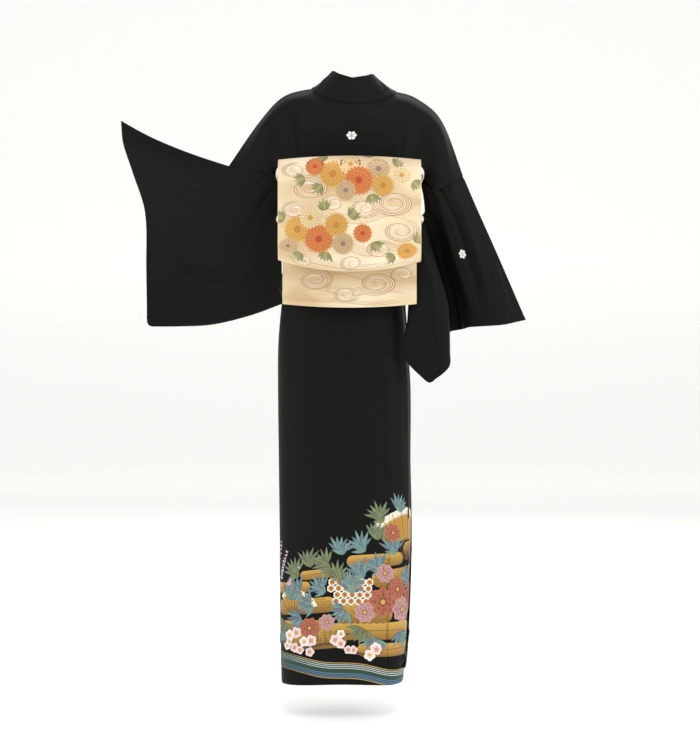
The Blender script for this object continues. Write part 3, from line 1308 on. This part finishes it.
# Obi: the band round the waist, and the drum knot behind it
obi = {
    "width": 310, "tailWidth": 294, "wall": 2.4, "bandWall": 5, "bandTop": -208, "bandBottom": -370,
    "bandOut": 12.1, "bow": 32, "left": -156, "innerLayer": -3.1,
    "drum": {"along": [0, 24, 52, 80, 135, 195, 265, 300, 318, 336, 362, 400, 460],
             "y": [-131, -132, -151, -172, -178, -180, -178, -172, -161, -149, -134, -127, -124],
             "z": [-206, -182, -160, -178, -232, -292, -362, -398, -409, -398, -376, -340, -280]},
    "tail": {"along": [0, 80, 150, 226], "y": [-120.8, -122, -124.5, -127], "z": [-262, -342, -412, -486]},
    "hand": {"along": [0, 60, 118], "y": [-134.5, -135, -138], "z": [-232, -292, -350]},
}


def knotGrid(side, x, along, inset=0.0):
    rows = obi[side]
    points = np.stack([rows["y"], rows["z"]], -1)
    at = through(rows["along"], points, along)
    ahead = through(rows["along"], points, along + 2) - through(rows["along"], points, along - 2)
    length = np.linalg.norm(ahead, axis=1)
    y, z = at[:, 0], at[:, 1]
    outside = (x / (obi["width"] / 2)) ** 2
    if side == "drum":
        sag = 24 * ease((-z - 340) / 70) - 4 * ease((z + 230) / 60)
        lift = np.outer(3.5 * ease((-z - 340) / 70), x < 0)
    else:
        sag = 10 * ease((-z - 410) / 80)
        lift = np.zeros((len(z), len(x)))
    grid = np.zeros((len(along), len(x), 3))
    grid[..., 0] = obi["left"] + obi["width"] / 2 + x
    grid[..., 1] = y[:, None] + obi["bow"] * outside + (inset * ahead[:, 1] / length)[:, None]
    grid[..., 2] = z[:, None] + (sag[:, None] + lift) * outside - (inset * ahead[:, 0] / length)[:, None]
    return grid


# soft dents in the stiff brocade, as (across from the middle, along) in millimetres
obiFolds = {
    "drum": [
        ([(-150, 330), (-60, 334), (60, 332), (150, 326)], -0.8, 14),
        ([(-120, 70), (0, 78), (120, 70)], 0.7, 10),
        ([(-150, 282), (-60, 292), (40, 296), (150, 284)], 1.0, 12),
        ([(40, 90), (70, 160), (84, 240)], -0.6, 30),
    ],
    "tail": [
        ([(-140, 190), (0, 198), (140, 190)], 0.6, 16), ([(-60, 130), (-40, 222)], -0.5, 26),
        ([(70, 130), (88, 222)], 0.6, 24),
    ],
}


def outerSheet(side, name, width, columns, long, rows):
    # the drum's outer layer or the tail, which carry the woven picture; closer columns beside their edges
    half = width / 2
    edge = np.array([0, 0.8, 1.8, 3.2])
    x = np.concatenate([-half + edge, np.linspace(-half + 5, half - 5, columns), half - edge[::-1]])
    along = np.linspace(0, long, rows)
    flat = np.stack(np.meshgrid(x, along), -1)
    grid = creased(knotGrid(side, x, along), flat, obiFolds[side], outside=-1)
    keepFace(side, x, along, grid, obi["wall"], -1)
    return clothShell(name, grid, flat, obi["wall"], brocadeSatin, outside=-1), x, along, flat


def buildObi():
    long = obi["drum"]["along"][-1]
    drum, x, along, flat = outerSheet("drum", "cloth_obi_drum", obi["width"], 100, long, 210)
    wear(drum, "brocade", "obi_drum")
    inner = knotGrid("drum", x, along, obi["innerLayer"])
    lining = clothShell("cloth_obi_drum_inner", inner, flat, obi["wall"], brocadeSatin, outside=-1)
    wear(lining, "brocade", "obi_drum_inner")
    tail = outerSheet("tail", "cloth_obi_tare", obi["tailWidth"], 90, 226, 90)[0]
    wear(tail, "brocade", "obi_tare")
    half = (obi["width"] - 4) / 2
    x = np.linspace(-half, half, 90)
    along = np.linspace(0, 118, 50)
    flat = np.stack(np.meshgrid(x, along), -1)
    hand = clothShell("cloth_obi_te", knotGrid("hand", x, along), flat, obi["bandWall"], brocadeSatin,
                      outside=-1)
    wear(hand, "brocade", "obi_te")
    whole = wholeGirth(-290)
    share = np.linspace(0, 1, 241)[:-1]
    heights = np.concatenate([[-208, -208.8, -210], np.linspace(-213, -217, 6), np.linspace(-222, -366, 30),
                              [-368.6, -370]])
    g, z = np.meshgrid(share, heights)
    grid = onFigure(g * wholeGirth(z), z, obi["bandOut"] + 0.5 * ease((-z - 214) / 2) - 0.5)
    flat = np.stack([g * whole, obi["bandTop"] - z], -1)
    band = clothShell("cloth_obi_wrap", grid, flat, obi["bandWall"] - 1, brocadeSatin, ring=True,
                      outside=-1)
    wear(band, "brocade", "obi_wrap")


# Cord: its route crosses the hand inside the drum and then lies on the band
cord = {
    "level": -290, "handEdge": 157, "onHand": -142, "thick": 4.4, "high": 13, "out": 17.2,
    "girth": [124, 136, 165, 188], "x": [156.5, 160, 159, 155], "y": [None, -97, -50, -12], "joined": 205,
    "plait": 5.5,  # one braid repeat, drawn about twice as coarse as it is woven
}


def cordPath(share):
    whole = wholeGirth(cord["level"])
    points = []
    for t in np.atleast_1d(share):
        t = t % 1
        side = 1 if t < 0.5 else -1
        girth = whole * min(t, 1 - t)
        onHand = lambda x: cord["onHand"] + obi["bow"] * (x / (obi["width"] / 2)) ** 2
        if girth >= cord["joined"]:
            points.append(onFigure(side * girth, cord["level"], cord["out"]))
        elif girth < cord["girth"][0]:
            crossed = girth / cord["girth"][0] * cord["handEdge"]
            points.append((side * crossed, onHand(crossed), cord["level"]))
        else:
            end = onFigure(cord["joined"], cord["level"], cord["out"])
            ys = [onHand(cord["handEdge"]), *cord["y"][1:], end[1]]
            xs = [*cord["x"], end[0]]
            x, y = through([*cord["girth"], cord["joined"]], np.stack([xs, ys], -1), girth)[0]
            points.append((side * x, y, cord["level"]))
    return np.array([np.asarray(p, float).ravel() for p in points])


def rollGrid(path, thick, high, sides):
    # a closed cord or roll: an upright oval carried round a ring of points
    ahead = unit(np.roll(path, -1, 0) - np.roll(path, 1, 0))
    outward = unit(np.cross(ahead, [0, 0, 1]))
    up = np.cross(outward, ahead)
    angle = np.linspace(0, 2 * np.pi, sides, endpoint=False)
    thick = np.broadcast_to(thick, (len(path), sides))
    high = np.broadcast_to(high, (len(path), sides))
    return (path[:, None] + outward[:, None] * (thick / 2 * np.cos(angle))[..., None]
            + up[:, None] * (high / 2 * np.sin(angle))[..., None])


def closedRoll(name, grid, material):
    # a torus of quads with its faces outwards
    rows, sides = grid.shape[:2]
    ids = np.arange(rows * sides).reshape(rows, sides)
    after, beside = np.roll(ids, -1, 0), np.roll(ids, -1, 1)
    corner = np.roll(after, -1, 1)
    faces = np.stack([ids, beside, corner, after], -1).reshape(-1, 4)
    piece = linkMesh(name, grid.reshape(-1, 3), faces.tolist(), material)
    mesh = piece.data
    body = bmesh.new()
    body.from_mesh(mesh)
    if body.calc_volume(signed=True) < 0:
        bmesh.ops.reverse_faces(body, faces=body.faces)
    body.to_mesh(mesh)
    body.free()
    smooth(mesh)
    return piece


def buildCord():
    share = np.linspace(0, 1, 901)[:-1]
    path = cordPath(share)
    run = runAlong(path)
    sides = 20
    angle = np.linspace(0, 2 * np.pi, sides, endpoint=False)
    # the plaits stand proud of each other as small lozenges on the two flat faces
    ribs = np.cos(2 * np.pi * run[:, None] / cord["plait"] + 2 * np.abs(np.sin(angle)) * 2.4)
    thick = (cord["thick"] - 0.5) + 0.5 * ribs
    high = (cord["high"] - 0.4) + 0.3 * ribs
    piece = closedRoll("braid_obijime", rollGrid(path, thick, high, sides), braidedSilk)
    wear(piece, "braid", "obijime")
    across = np.linspace(-11.5, 11.5, 25)
    heights = np.linspace(10.5, -10.5, 21)
    x, z = np.meshgrid(across, heights)
    # the knot's upper loop is folded over the lower one, so its middle is pinched and its ends are full
    full = 1.3 * ridge(np.abs(x) - 7, 4) - 1.0 * ridge(x, 2.2) - 0.5 * (z / 10.5) ** 2
    full += 0.25 * np.cos(2 * np.pi * (x + z) / cord["plait"])
    grid = onFront(x, cord["level"] + z, cord["out"] + 5.6 + full)
    knot = clothShell("braid_obijime_knot", grid, np.stack([x, z], -1), 6, braidedSilk, outside=1)
    wear(knot, "braid", "obijime_knot")


# Scarf: wraps the pad under the drum's top and lies along the band's upper edge
scarf = {
    "girth": [-60, 0, 60, 100, 120, 132, 145, 165, 185],
    "x": [-78, 0, 78, 130, 151, 158.5, 161, 157, 150],
    "y": [-144, -152, -144, -129.5, -123, -112, -90, -54, -20],
    "z": [-181.5, -181.5, -182.5, -185, -186, -189, -194, -201, -202],
    "thick": [25, 25, 25, 24, 15, 7, 5, 7, 8],
    "high": [20, 20, 20, 19, 17, 13, 11, 11, 11],
    "level": -201.9, "out": 7.4 + 7.2, "joined": 205,
    "frontThick": 9, "frontHigh": 12,  # from where the roll has joined the band's edge
}


def buildScarf():
    whole = wholeGirth(scarf["level"])
    share = np.linspace(0, 1, 421)[:-1]
    end = onFigure(scarf["joined"], scarf["level"], scarf["out"])
    rows = np.stack([[*scarf[k], v] for k, v in (("x", end[0]), ("y", end[1]), ("z", scarf["level"]),
                                                ("thick", scarf["frontThick"]),
                                                ("high", scarf["frontHigh"]))], -1)
    path, thick, high = [], [], []
    for t in share:
        side = 1 if t < 0.5 else -1
        girth = whole * min(t, 1 - t)
        if girth >= scarf["joined"]:
            path.append(onFigure(side * girth, scarf["level"], scarf["out"]))
            thick.append(scarf["frontThick"])
            high.append(scarf["frontHigh"])
            continue
        x, y, z, th, hi = through([*scarf["girth"], scarf["joined"]], rows, girth)[0]
        path.append(np.array([side * x, y, z]))
        thick.append(th)
        high.append(hi)
    path, thick, high = np.array(path), np.array(thick)[:, None], np.array(high)[:, None]
    sides = 28
    angle = np.linspace(0, 2 * np.pi, sides, endpoint=False)
    run = runAlong(path)[:, None]
    # long gathers that wander round the roll
    gathers = np.cos(5 * angle + 0.9 * np.sin(run / 41)) * 0.045 + np.cos(9 * angle + run / 53) * 0.03
    shape = 0.95 * (1 + gathers) - 0.02
    grid = rollGrid(path, thick * shape, high * shape, sides)
    piece = closedRoll("silk_obiage", grid, scarfSilk)
    wear(piece, "scarf", "obiage")


# Overcast stitches that close the tail's two sides
stitches = {"spacing": 6.5, "length": 3.4, "thread": 0.6, "inset": 1.9, "slant": 0.5, "seed": 4}


def makeStitchTree():
    # a small slanted thread across the edge at every step of the path
    tree = bpy.data.node_groups.new("edgeStitches", "GeometryNodeTree")
    tree.interface.new_socket("Geometry", in_out="INPUT", socket_type="NodeSocketGeometry")
    for name in ("Spacing", "Length", "Thread", "Slant"):
        tree.interface.new_socket(name, in_out="INPUT", socket_type="NodeSocketFloat")
    tree.interface.new_socket("Geometry", in_out="OUTPUT", socket_type="NodeSocketGeometry")
    given = tree.nodes.new("NodeGroupInput").outputs
    path = addNode(tree, "GeometryNodeMeshToCurve", inputs={"Mesh": given["Geometry"]})
    steps = addNode(tree, "GeometryNodeResampleCurve", {"mode": "LENGTH"},
                    {"Curve": path.outputs[0], "Length": given["Spacing"]})
    thread = addNode(tree, "GeometryNodeMeshIcoSphere", inputs={"Radius": 0.5, "Subdivisions": 2})
    size = addNode(tree, "ShaderNodeCombineXYZ", inputs={"X": given["Length"], "Y": given["Thread"],
            "Z": given["Thread"]})
    slant = addNode(tree, "ShaderNodeCombineXYZ", inputs={"Y": given["Slant"]})
    wobble = addNode(tree, "FunctionNodeRandomValue", {"data_type": "FLOAT_VECTOR"},
                     {0: (0, -0.12, 0), 1: (0, 0.12, 0), "Seed": stitches["seed"]})
    turn = addNode(tree, "ShaderNodeVectorMath", {"operation": "ADD"}, {0: slant.outputs[0],
            1: wobble.outputs[0]})
    placed = addNode(tree, "GeometryNodeInstanceOnPoints", inputs={
        "Points": steps.outputs[0], "Instance": thread.outputs[0], "Rotation": turn.outputs[0],
        "Scale": size.outputs[0]})
    real = addNode(tree, "GeometryNodeRealizeInstances", inputs={"Geometry": placed.outputs[0]})
    dressed = addNode(tree, "GeometryNodeSetMaterial", inputs={"Geometry": real.outputs[0],
            "Material": silkThread})
    tree.links.new(dressed.outputs[0], tree.nodes.new("NodeGroupOutput").inputs[0])
    return tree


def buildStitches():
    tree = makeStitchTree()
    names = {item.name: item.identifier for item in tree.interface.items_tree if item.in_out == "INPUT"}
    for side, name in ((-1, "left"), (1, "right")):
        down = np.linspace(4, 222, 60)
        across = np.full(len(down), side * (obi["tailWidth"] / 2 - stitches["inset"]))
        points = layOn("tail", across, down, np.full(len(down), 0.15))[0] * toMetres
        mesh = bpy.data.meshes.new("stitch_path")
        mesh.from_pydata(points.tolist(), [(k, k + 1) for k in range(len(points) - 1)], [])
        path = putInScene("stitch_path", mesh)
        modifier = path.modifiers.new("stitches", "NODES")
        modifier.node_group = tree
        for key, value in (("Spacing", stitches["spacing"]), ("Length", stitches["length"]),
                           ("Thread", stitches["thread"])):
            modifier[names[key]] = value * toMetres
        modifier[names["Slant"]] = side * stitches["slant"]
        bpy.context.view_layer.update()
        result = bpy.data.meshes.new_from_object(path.evaluated_get(bpy.context.evaluated_depsgraph_get()))
        bpy.data.objects.remove(path)
        result.name = "stitches_tail_" + name
        smooth(result)
        wear(putInScene("stitches_tail_" + name, result), "brocade")
    print("stitches", len(result.polygons), "faces a side")


# What is drawn where. Skirt: (fromSeam, height above the hem); obi: (across, up from the drum's fold line)
hem = {
    "goldLight": "#cfa548", "goldDeep": "#8d6420", "line": "#6a4718",
    "peony": {"edge": "#b8694a", "deep": "#6d2f25", "heart": "#d9a63f"},
    "mauvePeony": {"edge": "#c99c96", "deep": "#7c4a52", "heart": "#d9a63f"},
    "plumInner": "#e0848c", "plumOuter": "#f5ece6", "whiteInner": "#efdcc6", "branch": "#5b4026",
    "leaves": ["#1f5f86", "#2c7f86", "#1d4a78", "#3d8a8a"], "greens": ["#35543a", "#4c6f45", "#274634"],
    "clover": ["#b586a8", "#cfa3c0", "#9d6f98"],
    "stream": "#17402f", "streamDeep": "#12304a", "ripple": "#e9ecec", "rippleBlue": "#6f9dbb",
    "fan": {"leaf": "#c59432", "shade": "#a87924", "edge": "#efe6d2", "rib": "#5c3b1a"},
    # banks of mist: start, end, thickness, level, 1 where they hold the wave pattern
    "mist": [
        ((-292, 214), (-176, 220), 24, 0, 0), ((-268, 172), (-118, 180), 34, 4, 1),
        ((-300, 132), (-150, 134), 22, 0, 0),
        ((-170, 116), (74, 124), 38, 0, 0), ((-70, 78), (120, 82), 30, 4, 0), ((-40, 236), (104, 246), 40,
                0, 1),
        ((40, 300), (190, 312), 34, 0, 0), ((90, 160), (262, 170), 42, 0, 1), ((150, 236), (330, 244), 34,
                4, 0),
        ((200, 86), (420, 96), 40, 0, 0), ((300, 160), (470, 170), 34, 0, 1),
        ((-236, 96), (-92, 104), 40, 0, 1), ((-120, 156), (10, 160), 44, 0, 1), ((-96, 272), (40, 284), 28,
                0, 0),
        ((-20, 330), (90, 340), 30, 0, 1), ((-200, 244), (-120, 250), 20, 4, 0),
        ((-470, 150), (-330, 158), 34, 0, 1), ((-560, 104), (-360, 108), 40, 4, 0),
        ((-640, 206), (-470, 216), 38, 0, 0),
        ((-672, 276), (-540, 286), 40, 0, 1), ((-680, 356), (-590, 362), 34, 0, 0),
        ((-684, 120), (-580, 124), 34, 0, 0),
    ],
    "fans": [((52, 276), 118, 0.35, 2.45, 9, 8), ((-606, 300), 112, 0.5, 2.6, 9, 8), ((-216, 152), 62, 0.4,
            2.3, 7, 8),
             ((352, 166), 84, 0.6, 2.5, 8, 8)],
    "peonies": [(-14, 186, 34, 0), (38, 168, 30, 1), (22, 214, 27, 0), (76, 196, 33, 0), (-54, 162, 24, 1),
                (118, 214, 26, 1),
                (214, 150, 32, 0), (262, 186, 26, 1), (-500, 190, 33, 0), (-552, 160, 30, 1),
                (-446, 168, 25, 0),
                (-600, 250, 32, 0), (-650, 226, 26, 1), (-176, 128, 24, 0), (-138, 140, 19, 1),
                (-10, 250, 22, 1), (8, 340, 21, 0)],
    "tiles": {"white": "#f1ece2", "gold": "#b98a35", "red": "#a8483a",
              "patches": [((-118, 186), 6, 4, 9.5), ((150, 120), 7, 3, 9.5), ((-560, 74), 8, 3, 9.5)]},
    "leafSprays": [(-150, 214, 2.2), (-118, 238, 1.5), (-92, 216, 0.9), (-66, 246, 1.7), (-24, 262, 2.2),
                   (8, 300, 1.6),
                   (-176, 180, 2.7), (92, 262, 0.7), (132, 300, 1.3), (168, 224, 0.6), (-100, 168, 3.6),
                   (236, 232, 1.9),
                   (300, 214, 0.8), (-420, 216, 1.7), (-470, 250, 1.1), (-540, 238, 2.1), (-630, 322, 1.5),
                   (-664, 262, 2.2),
                   (-586, 196, 0.4), (104, 130, 5.4), (-60, 128, 4.2), (-212, 250, 2.0), (-184, 270, 1.2),
                   (-140, 268, 2.3),
                   (-112, 296, 1.4), (-64, 304, 1.9), (-36, 330, 1.1), (-22, 372, 1.9), (24, 392, 1.2),
                   (-232, 196, 1.0),
                   (-204, 208, 2.4), (-196, 152, 3.6), (-252, 146, 4.4), (-36, 108, 4.6), (34, 120, 4.9),
                   (-84, 214, 1.7),
                   (60, 232, 2.2), (-256, 118, 5.0)],
    "branches": [[(-298, 84), (-240, 96), (-186, 84), (-130, 92), (-70, 70), (-10, 74)],
                 [(-240, 96), (-222, 118), (-196, 128)], [(-130, 92), (-112, 108), (-84, 114)],
                 [(40, 44), (90, 58), (150, 52), (210, 66)], [(-690, 60), (-620, 76), (-550, 66),
                         (-470, 78), (-400, 64)],
                 [(-620, 76), (-596, 96), (-566, 104)]],
    "streams": [[(-300, 58), (-220, 52), (-140, 34), (-60, 30), (20, 16), (110, 22), (230, 40), (330, 30),
                 (430, 48)],
                [(-690, 30), (-600, 24), (-520, 40), (-430, 30), (-360, 44), (-300, 58)]],
    "sprigs": [[(-286, 214), (-280, 252), (-268, 292), (-262, 322)], [(-262, 222), (-252, 262),
            (-236, 300)],
               [(-294, 226), (-298, 262), (-292, 296)], [(-236, 214), (-222, 240), (-202, 262)],
               [(-402, 190), (-398, 240), (-386, 284)], [(-380, 184), (-366, 226), (-348, 258)],
               [(280, 252), (288, 292), (302, 330)]],
}
water = {
    "tan": "#c99c62", "deepTan": "#b98a50", "pale": "#fbf3de",
    "streams": [
        # (points, lines, gap, width)
        ([(-152, 226), (-96, 214), (-50, 232), (6, 250), (62, 238), (150, 250)], 6, 3.4, 1.3),
        ([(-152, 150), (-110, 136), (-70, 142), (-30, 120), (30, 118), (88, 134), (152, 118)], 7, 3.4, 1.3),
        ([(-30, 172), (18, 160), (64, 176), (152, 168)], 5, 3.4, 1.2),
        ([(-152, 66), (-90, 54), (-30, 66), (40, 46), (100, 56), (152, 44)], 6, 3.4, 1.3),
        ([(-152, 30), (-60, 22), (30, 14), (152, 22)], 4, 3.6, 1.3),
    ],
    "whirls": [((-88, 184), 36, 2.4, 3, 1), ((94, 152), 38, 2.6, 3, -1), ((32, 140), 28, 2.0, 3, 1),
               ((-118, 138), 24, 1.8, 3, -1),
               ((108, 92), 34, 2.2, 3, 1), ((-34, 150), 24, 2.0, 3, -1), ((66, 50), 28, 2.0, 3, -1),
               ((-118, 226), 24, 1.8, 3, -1),
               ((6, 24), 22, 1.8, 3, 1), ((-100, 22), 22, 1.8, 3, -1)],
    "tailStreams": [([(-144, 84), (-80, 70), (-20, 84), (60, 64), (144, 78)], 6, 3.4, 1.3),
                    ([(-144, 40), (-70, 48), (0, 34), (70, 46), (144, 30)], 6, 3.4, 1.3),
                    ([(-144, 12), (-40, 16), (60, 8), (144, 14)], 3, 3.4, 1.2)],
    "tailWhirls": [((-76, 62), 34, 2.4, 3, 1), ((58, 54), 36, 2.4, 3, -1), ((-8, 30), 24, 2.0, 3, 1),
                   ((118, 76), 24, 1.8, 3, 1)],
}
asters = {
    "gold": {"inner": "#b06f22", "outer": "#e6b760", "ground": "#8a5418", "heart": "#cf8f30"},
    "orange": {"inner": "#b23f1c", "outer": "#e2934e", "ground": "#84371b", "heart": "#b9401f"},
    "mauve": {"inner": "#8a6560", "outer": "#e3c48c", "ground": "#80593a", "heart": "#9a7a74"},
    "cream": {"inner": "#c08c3e", "outer": "#f4e3b8", "ground": "#95683a", "heart": "#cf9536"},
    # centre across, up, radius, kind, petals, level
    "heads": [
        (-36, 214, 31, "gold", 20, 0), (2, 236, 26, "cream", 18, 6), (20, 200, 33, "orange", 22, 12),
        (62, 226, 27, "mauve", 18, 6),
        (72, 190, 24, "gold", 18, 18), (-8, 178, 22, "mauve", 16, 18), (112, 214, 22, "cream", 16, 0),
        (-74, 232, 22, "orange", 16, 6),
        (-112, 96, 30, "gold", 20, 0), (-66, 74, 33, "orange", 22, 6), (-28, 104, 26, "gold", 18, 12),
        (-84, 120, 24, "cream", 18, 18),
        (-14, 64, 24, "mauve", 18, 18), (28, 86, 21, "orange", 16, 6), (-132, 58, 22, "mauve", 16, 12),
        (124, 44, 24, "gold", 18, 0),
    ],
    "leaves": [(-60, 190, 3.9), (46, 170, 5.0), (98, 234, 0.9), (-50, 246, 2.4), (36, 254, 1.2),
               (136, 200, 5.6), (-96, 206, 3.4),
               (-140, 118, 2.6), (-50, 46, 4.5), (2, 118, 0.9), (50, 66, 5.4), (-104, 40, 4.0),
               (-52, 136, 1.8), (96, 36, 3.7),
               (146, 66, 1.2)],
    "leafTones": ["#8a8a55", "#6f7a4e", "#a39a5e"],
    "drumFold": 318,  # along the drum's sheet to its lower fold
    "tailEnd": 226,
}


def drawHem():
    random.seed(7)
    picture = newPicture()
    tone = {name: dye(shade) for name, shade in hem.items() if isinstance(shade, str)}
    for start, end, height, level, scaled in hem["mist"]:
        addBand(picture, start, end, height, tone["goldLight"], tone["goldDeep"], level)
        if scaled:
            addScales(picture, start, end, height, 6.5, tone["line"], level + 1)
        else:
            inset = (height * 0.5, 0)
            middle = np.add(np.add(start, end) / 2, (0, 1.5))
            addRibbon(picture, [np.add(start, inset), middle, np.subtract(end, inset)], 1.2, tone["line"],
                      level + 1)
    for pivot, radius, start, end, ribs, level in hem["fans"]:
        addFan(picture, pivot, radius, start, end, ribs, hem["fan"], level)
    for start, columns, rows, size in hem["tiles"]["patches"]:
        addTiles(picture, start, columns, rows, size, hem["tiles"], 7)
    for path in hem["streams"]:
        addRibbon(picture, path, 34, tone["stream"], 10, taper=False)
        addRibbon(picture, np.add(path, (0, -12)), 9, tone["streamDeep"], 11)
        addWater(picture, np.add(path, (0, 9)), 3, 4.0, 1.1, tone["ripple"], 12)
        addWater(picture, np.add(path, (0, -10)), 3, 3.6, 1.0, tone["rippleBlue"], 12)
        addRibbon(picture, np.add(path, (0, 17)), 1.4, tone["goldLight"], 12, gold=True)
        addRibbon(picture, np.add(path, (0, -17)), 1.4, tone["goldLight"], 12, gold=True)
    for x, y, aim in hem["leafSprays"]:
        tones = hem["leaves"] if random.random() < 0.7 else hem["greens"]
        addLeaves(picture, (x, y), 7, 40, 8.5, aim, 1.25, tones, 13)
        addLeaves(picture, (x + 9, y - 7), 5, 30, 7.5, aim + 0.6, 0.9, tones[::-1], 16)
    for k, (x, y, radius, mauve) in enumerate(hem["peonies"]):
        addPeony(picture, (x, y), radius, hem["mauvePeony" if mauve else "peony"], 19 + 7 * (k % 2),
                 0.7 * k)
    for path in hem["branches"]:
        addRibbon(picture, path, 5.5, tone["branch"], 27)
        for k in range(int(np.linalg.norm(np.subtract(path[-1], path[0])) / 19)):
            at = through(np.linspace(0, 1, len(path)), path, random.random())[0] + [random.uniform(-6, 6),
                    random.uniform(-15, 17)]
            pink = random.random() < 0.35
            addPlum(picture, at, random.uniform(9.5, 13.5), dye(hem["plumInner" if pink else "whiteInner"]),
                    tone["plumOuter"],
                    28 + 4 * (k % 3), random.uniform(0, 6))
    for path in hem["sprigs"]:
        addSprig(picture, path, 9, hem["clover"], 13)
    layPicture("printed_hem", picture, "skirt", "silk", cuts=skirtSeams,
               limits=((-skirtEdge + 3, skirtEdge - 3), (1.5, 500)),
               toPlace=lambda s, h: (s, 1 - h / (skirt["top"] - skirtBottom(s))))


def addRiver(picture, streams, whirls):
    pale, tan, deep = dye(water["pale"]), dye(water["tan"]), dye(water["deepTan"])
    for points, lines, gap, width in streams:
        addWater(picture, points, lines, gap, width, tan, 0)
        addWater(picture, np.add(points, (0, gap / 2)), lines - 1, gap, 0.8, pale, 0)
    for centre, radius, turns, arms, wind in whirls:
        addWhirl(picture, centre, radius, turns, arms, 1.9, deep, 1, wind)
        addWhirl(picture, centre, radius * 0.93, turns, arms, 1.1, pale, 2, wind)


def drawObi():
    random.seed(11)
    half = obi["width"] / 2 - 1.5
    picture = newPicture()
    addRiver(picture, water["streams"], water["whirls"])
    for x, y, aim in asters["leaves"]:
        addLeaves(picture, (x, y), 5, 26, 9, aim, 1.0, asters["leafTones"], 3, True)
    for k, (x, y, radius, kind, petals, level) in enumerate(asters["heads"]):
        addChrysanthemum(picture, (x, y), radius, petals, asters[kind], 6 + level, 0.37 * k)
    layPicture("woven_drum", picture, "drum", "brocade", limits=((-half, half), (2, 262)),
               toPlace=lambda x, up: (x, asters["drumFold"] - up))
    half = obi["tailWidth"] / 2 - 1.5
    picture = newPicture()
    addRiver(picture, water["tailStreams"], water["tailWhirls"])
    layPicture("woven_tail", picture, "tail", "brocade", limits=((-half, half), (2, 110)),
               toPlace=lambda x, up: (x, asters["tailEnd"] - up))


# House crests, each a plain rosette: (cloth, place on it, radius)
crests = [("back", (0, 76), 11), ("sleeve_right", (152, 122), 11), ("front_left", (150, 112), 10),
          ("front_right", (150, 112), 10)]


def drawCrests():
    for cloth, place, radius in crests:
        picture = newPicture()
        addRosette(picture, place, radius, 6, 1)
        layPicture("crest_" + cloth, picture, cloth, "silk", cuts=[0] if cloth == "back" else ())


buildSkirt()
print("skirt ready")
buildBodice()
buildCollar()
buildTuck()
print("bodice ready")
buildSleeves()
print("sleeves ready")
buildObi()
buildStitches()
buildCord()
buildScarf()
print("obi ready")
drawHem()
drawObi()
drawCrests()
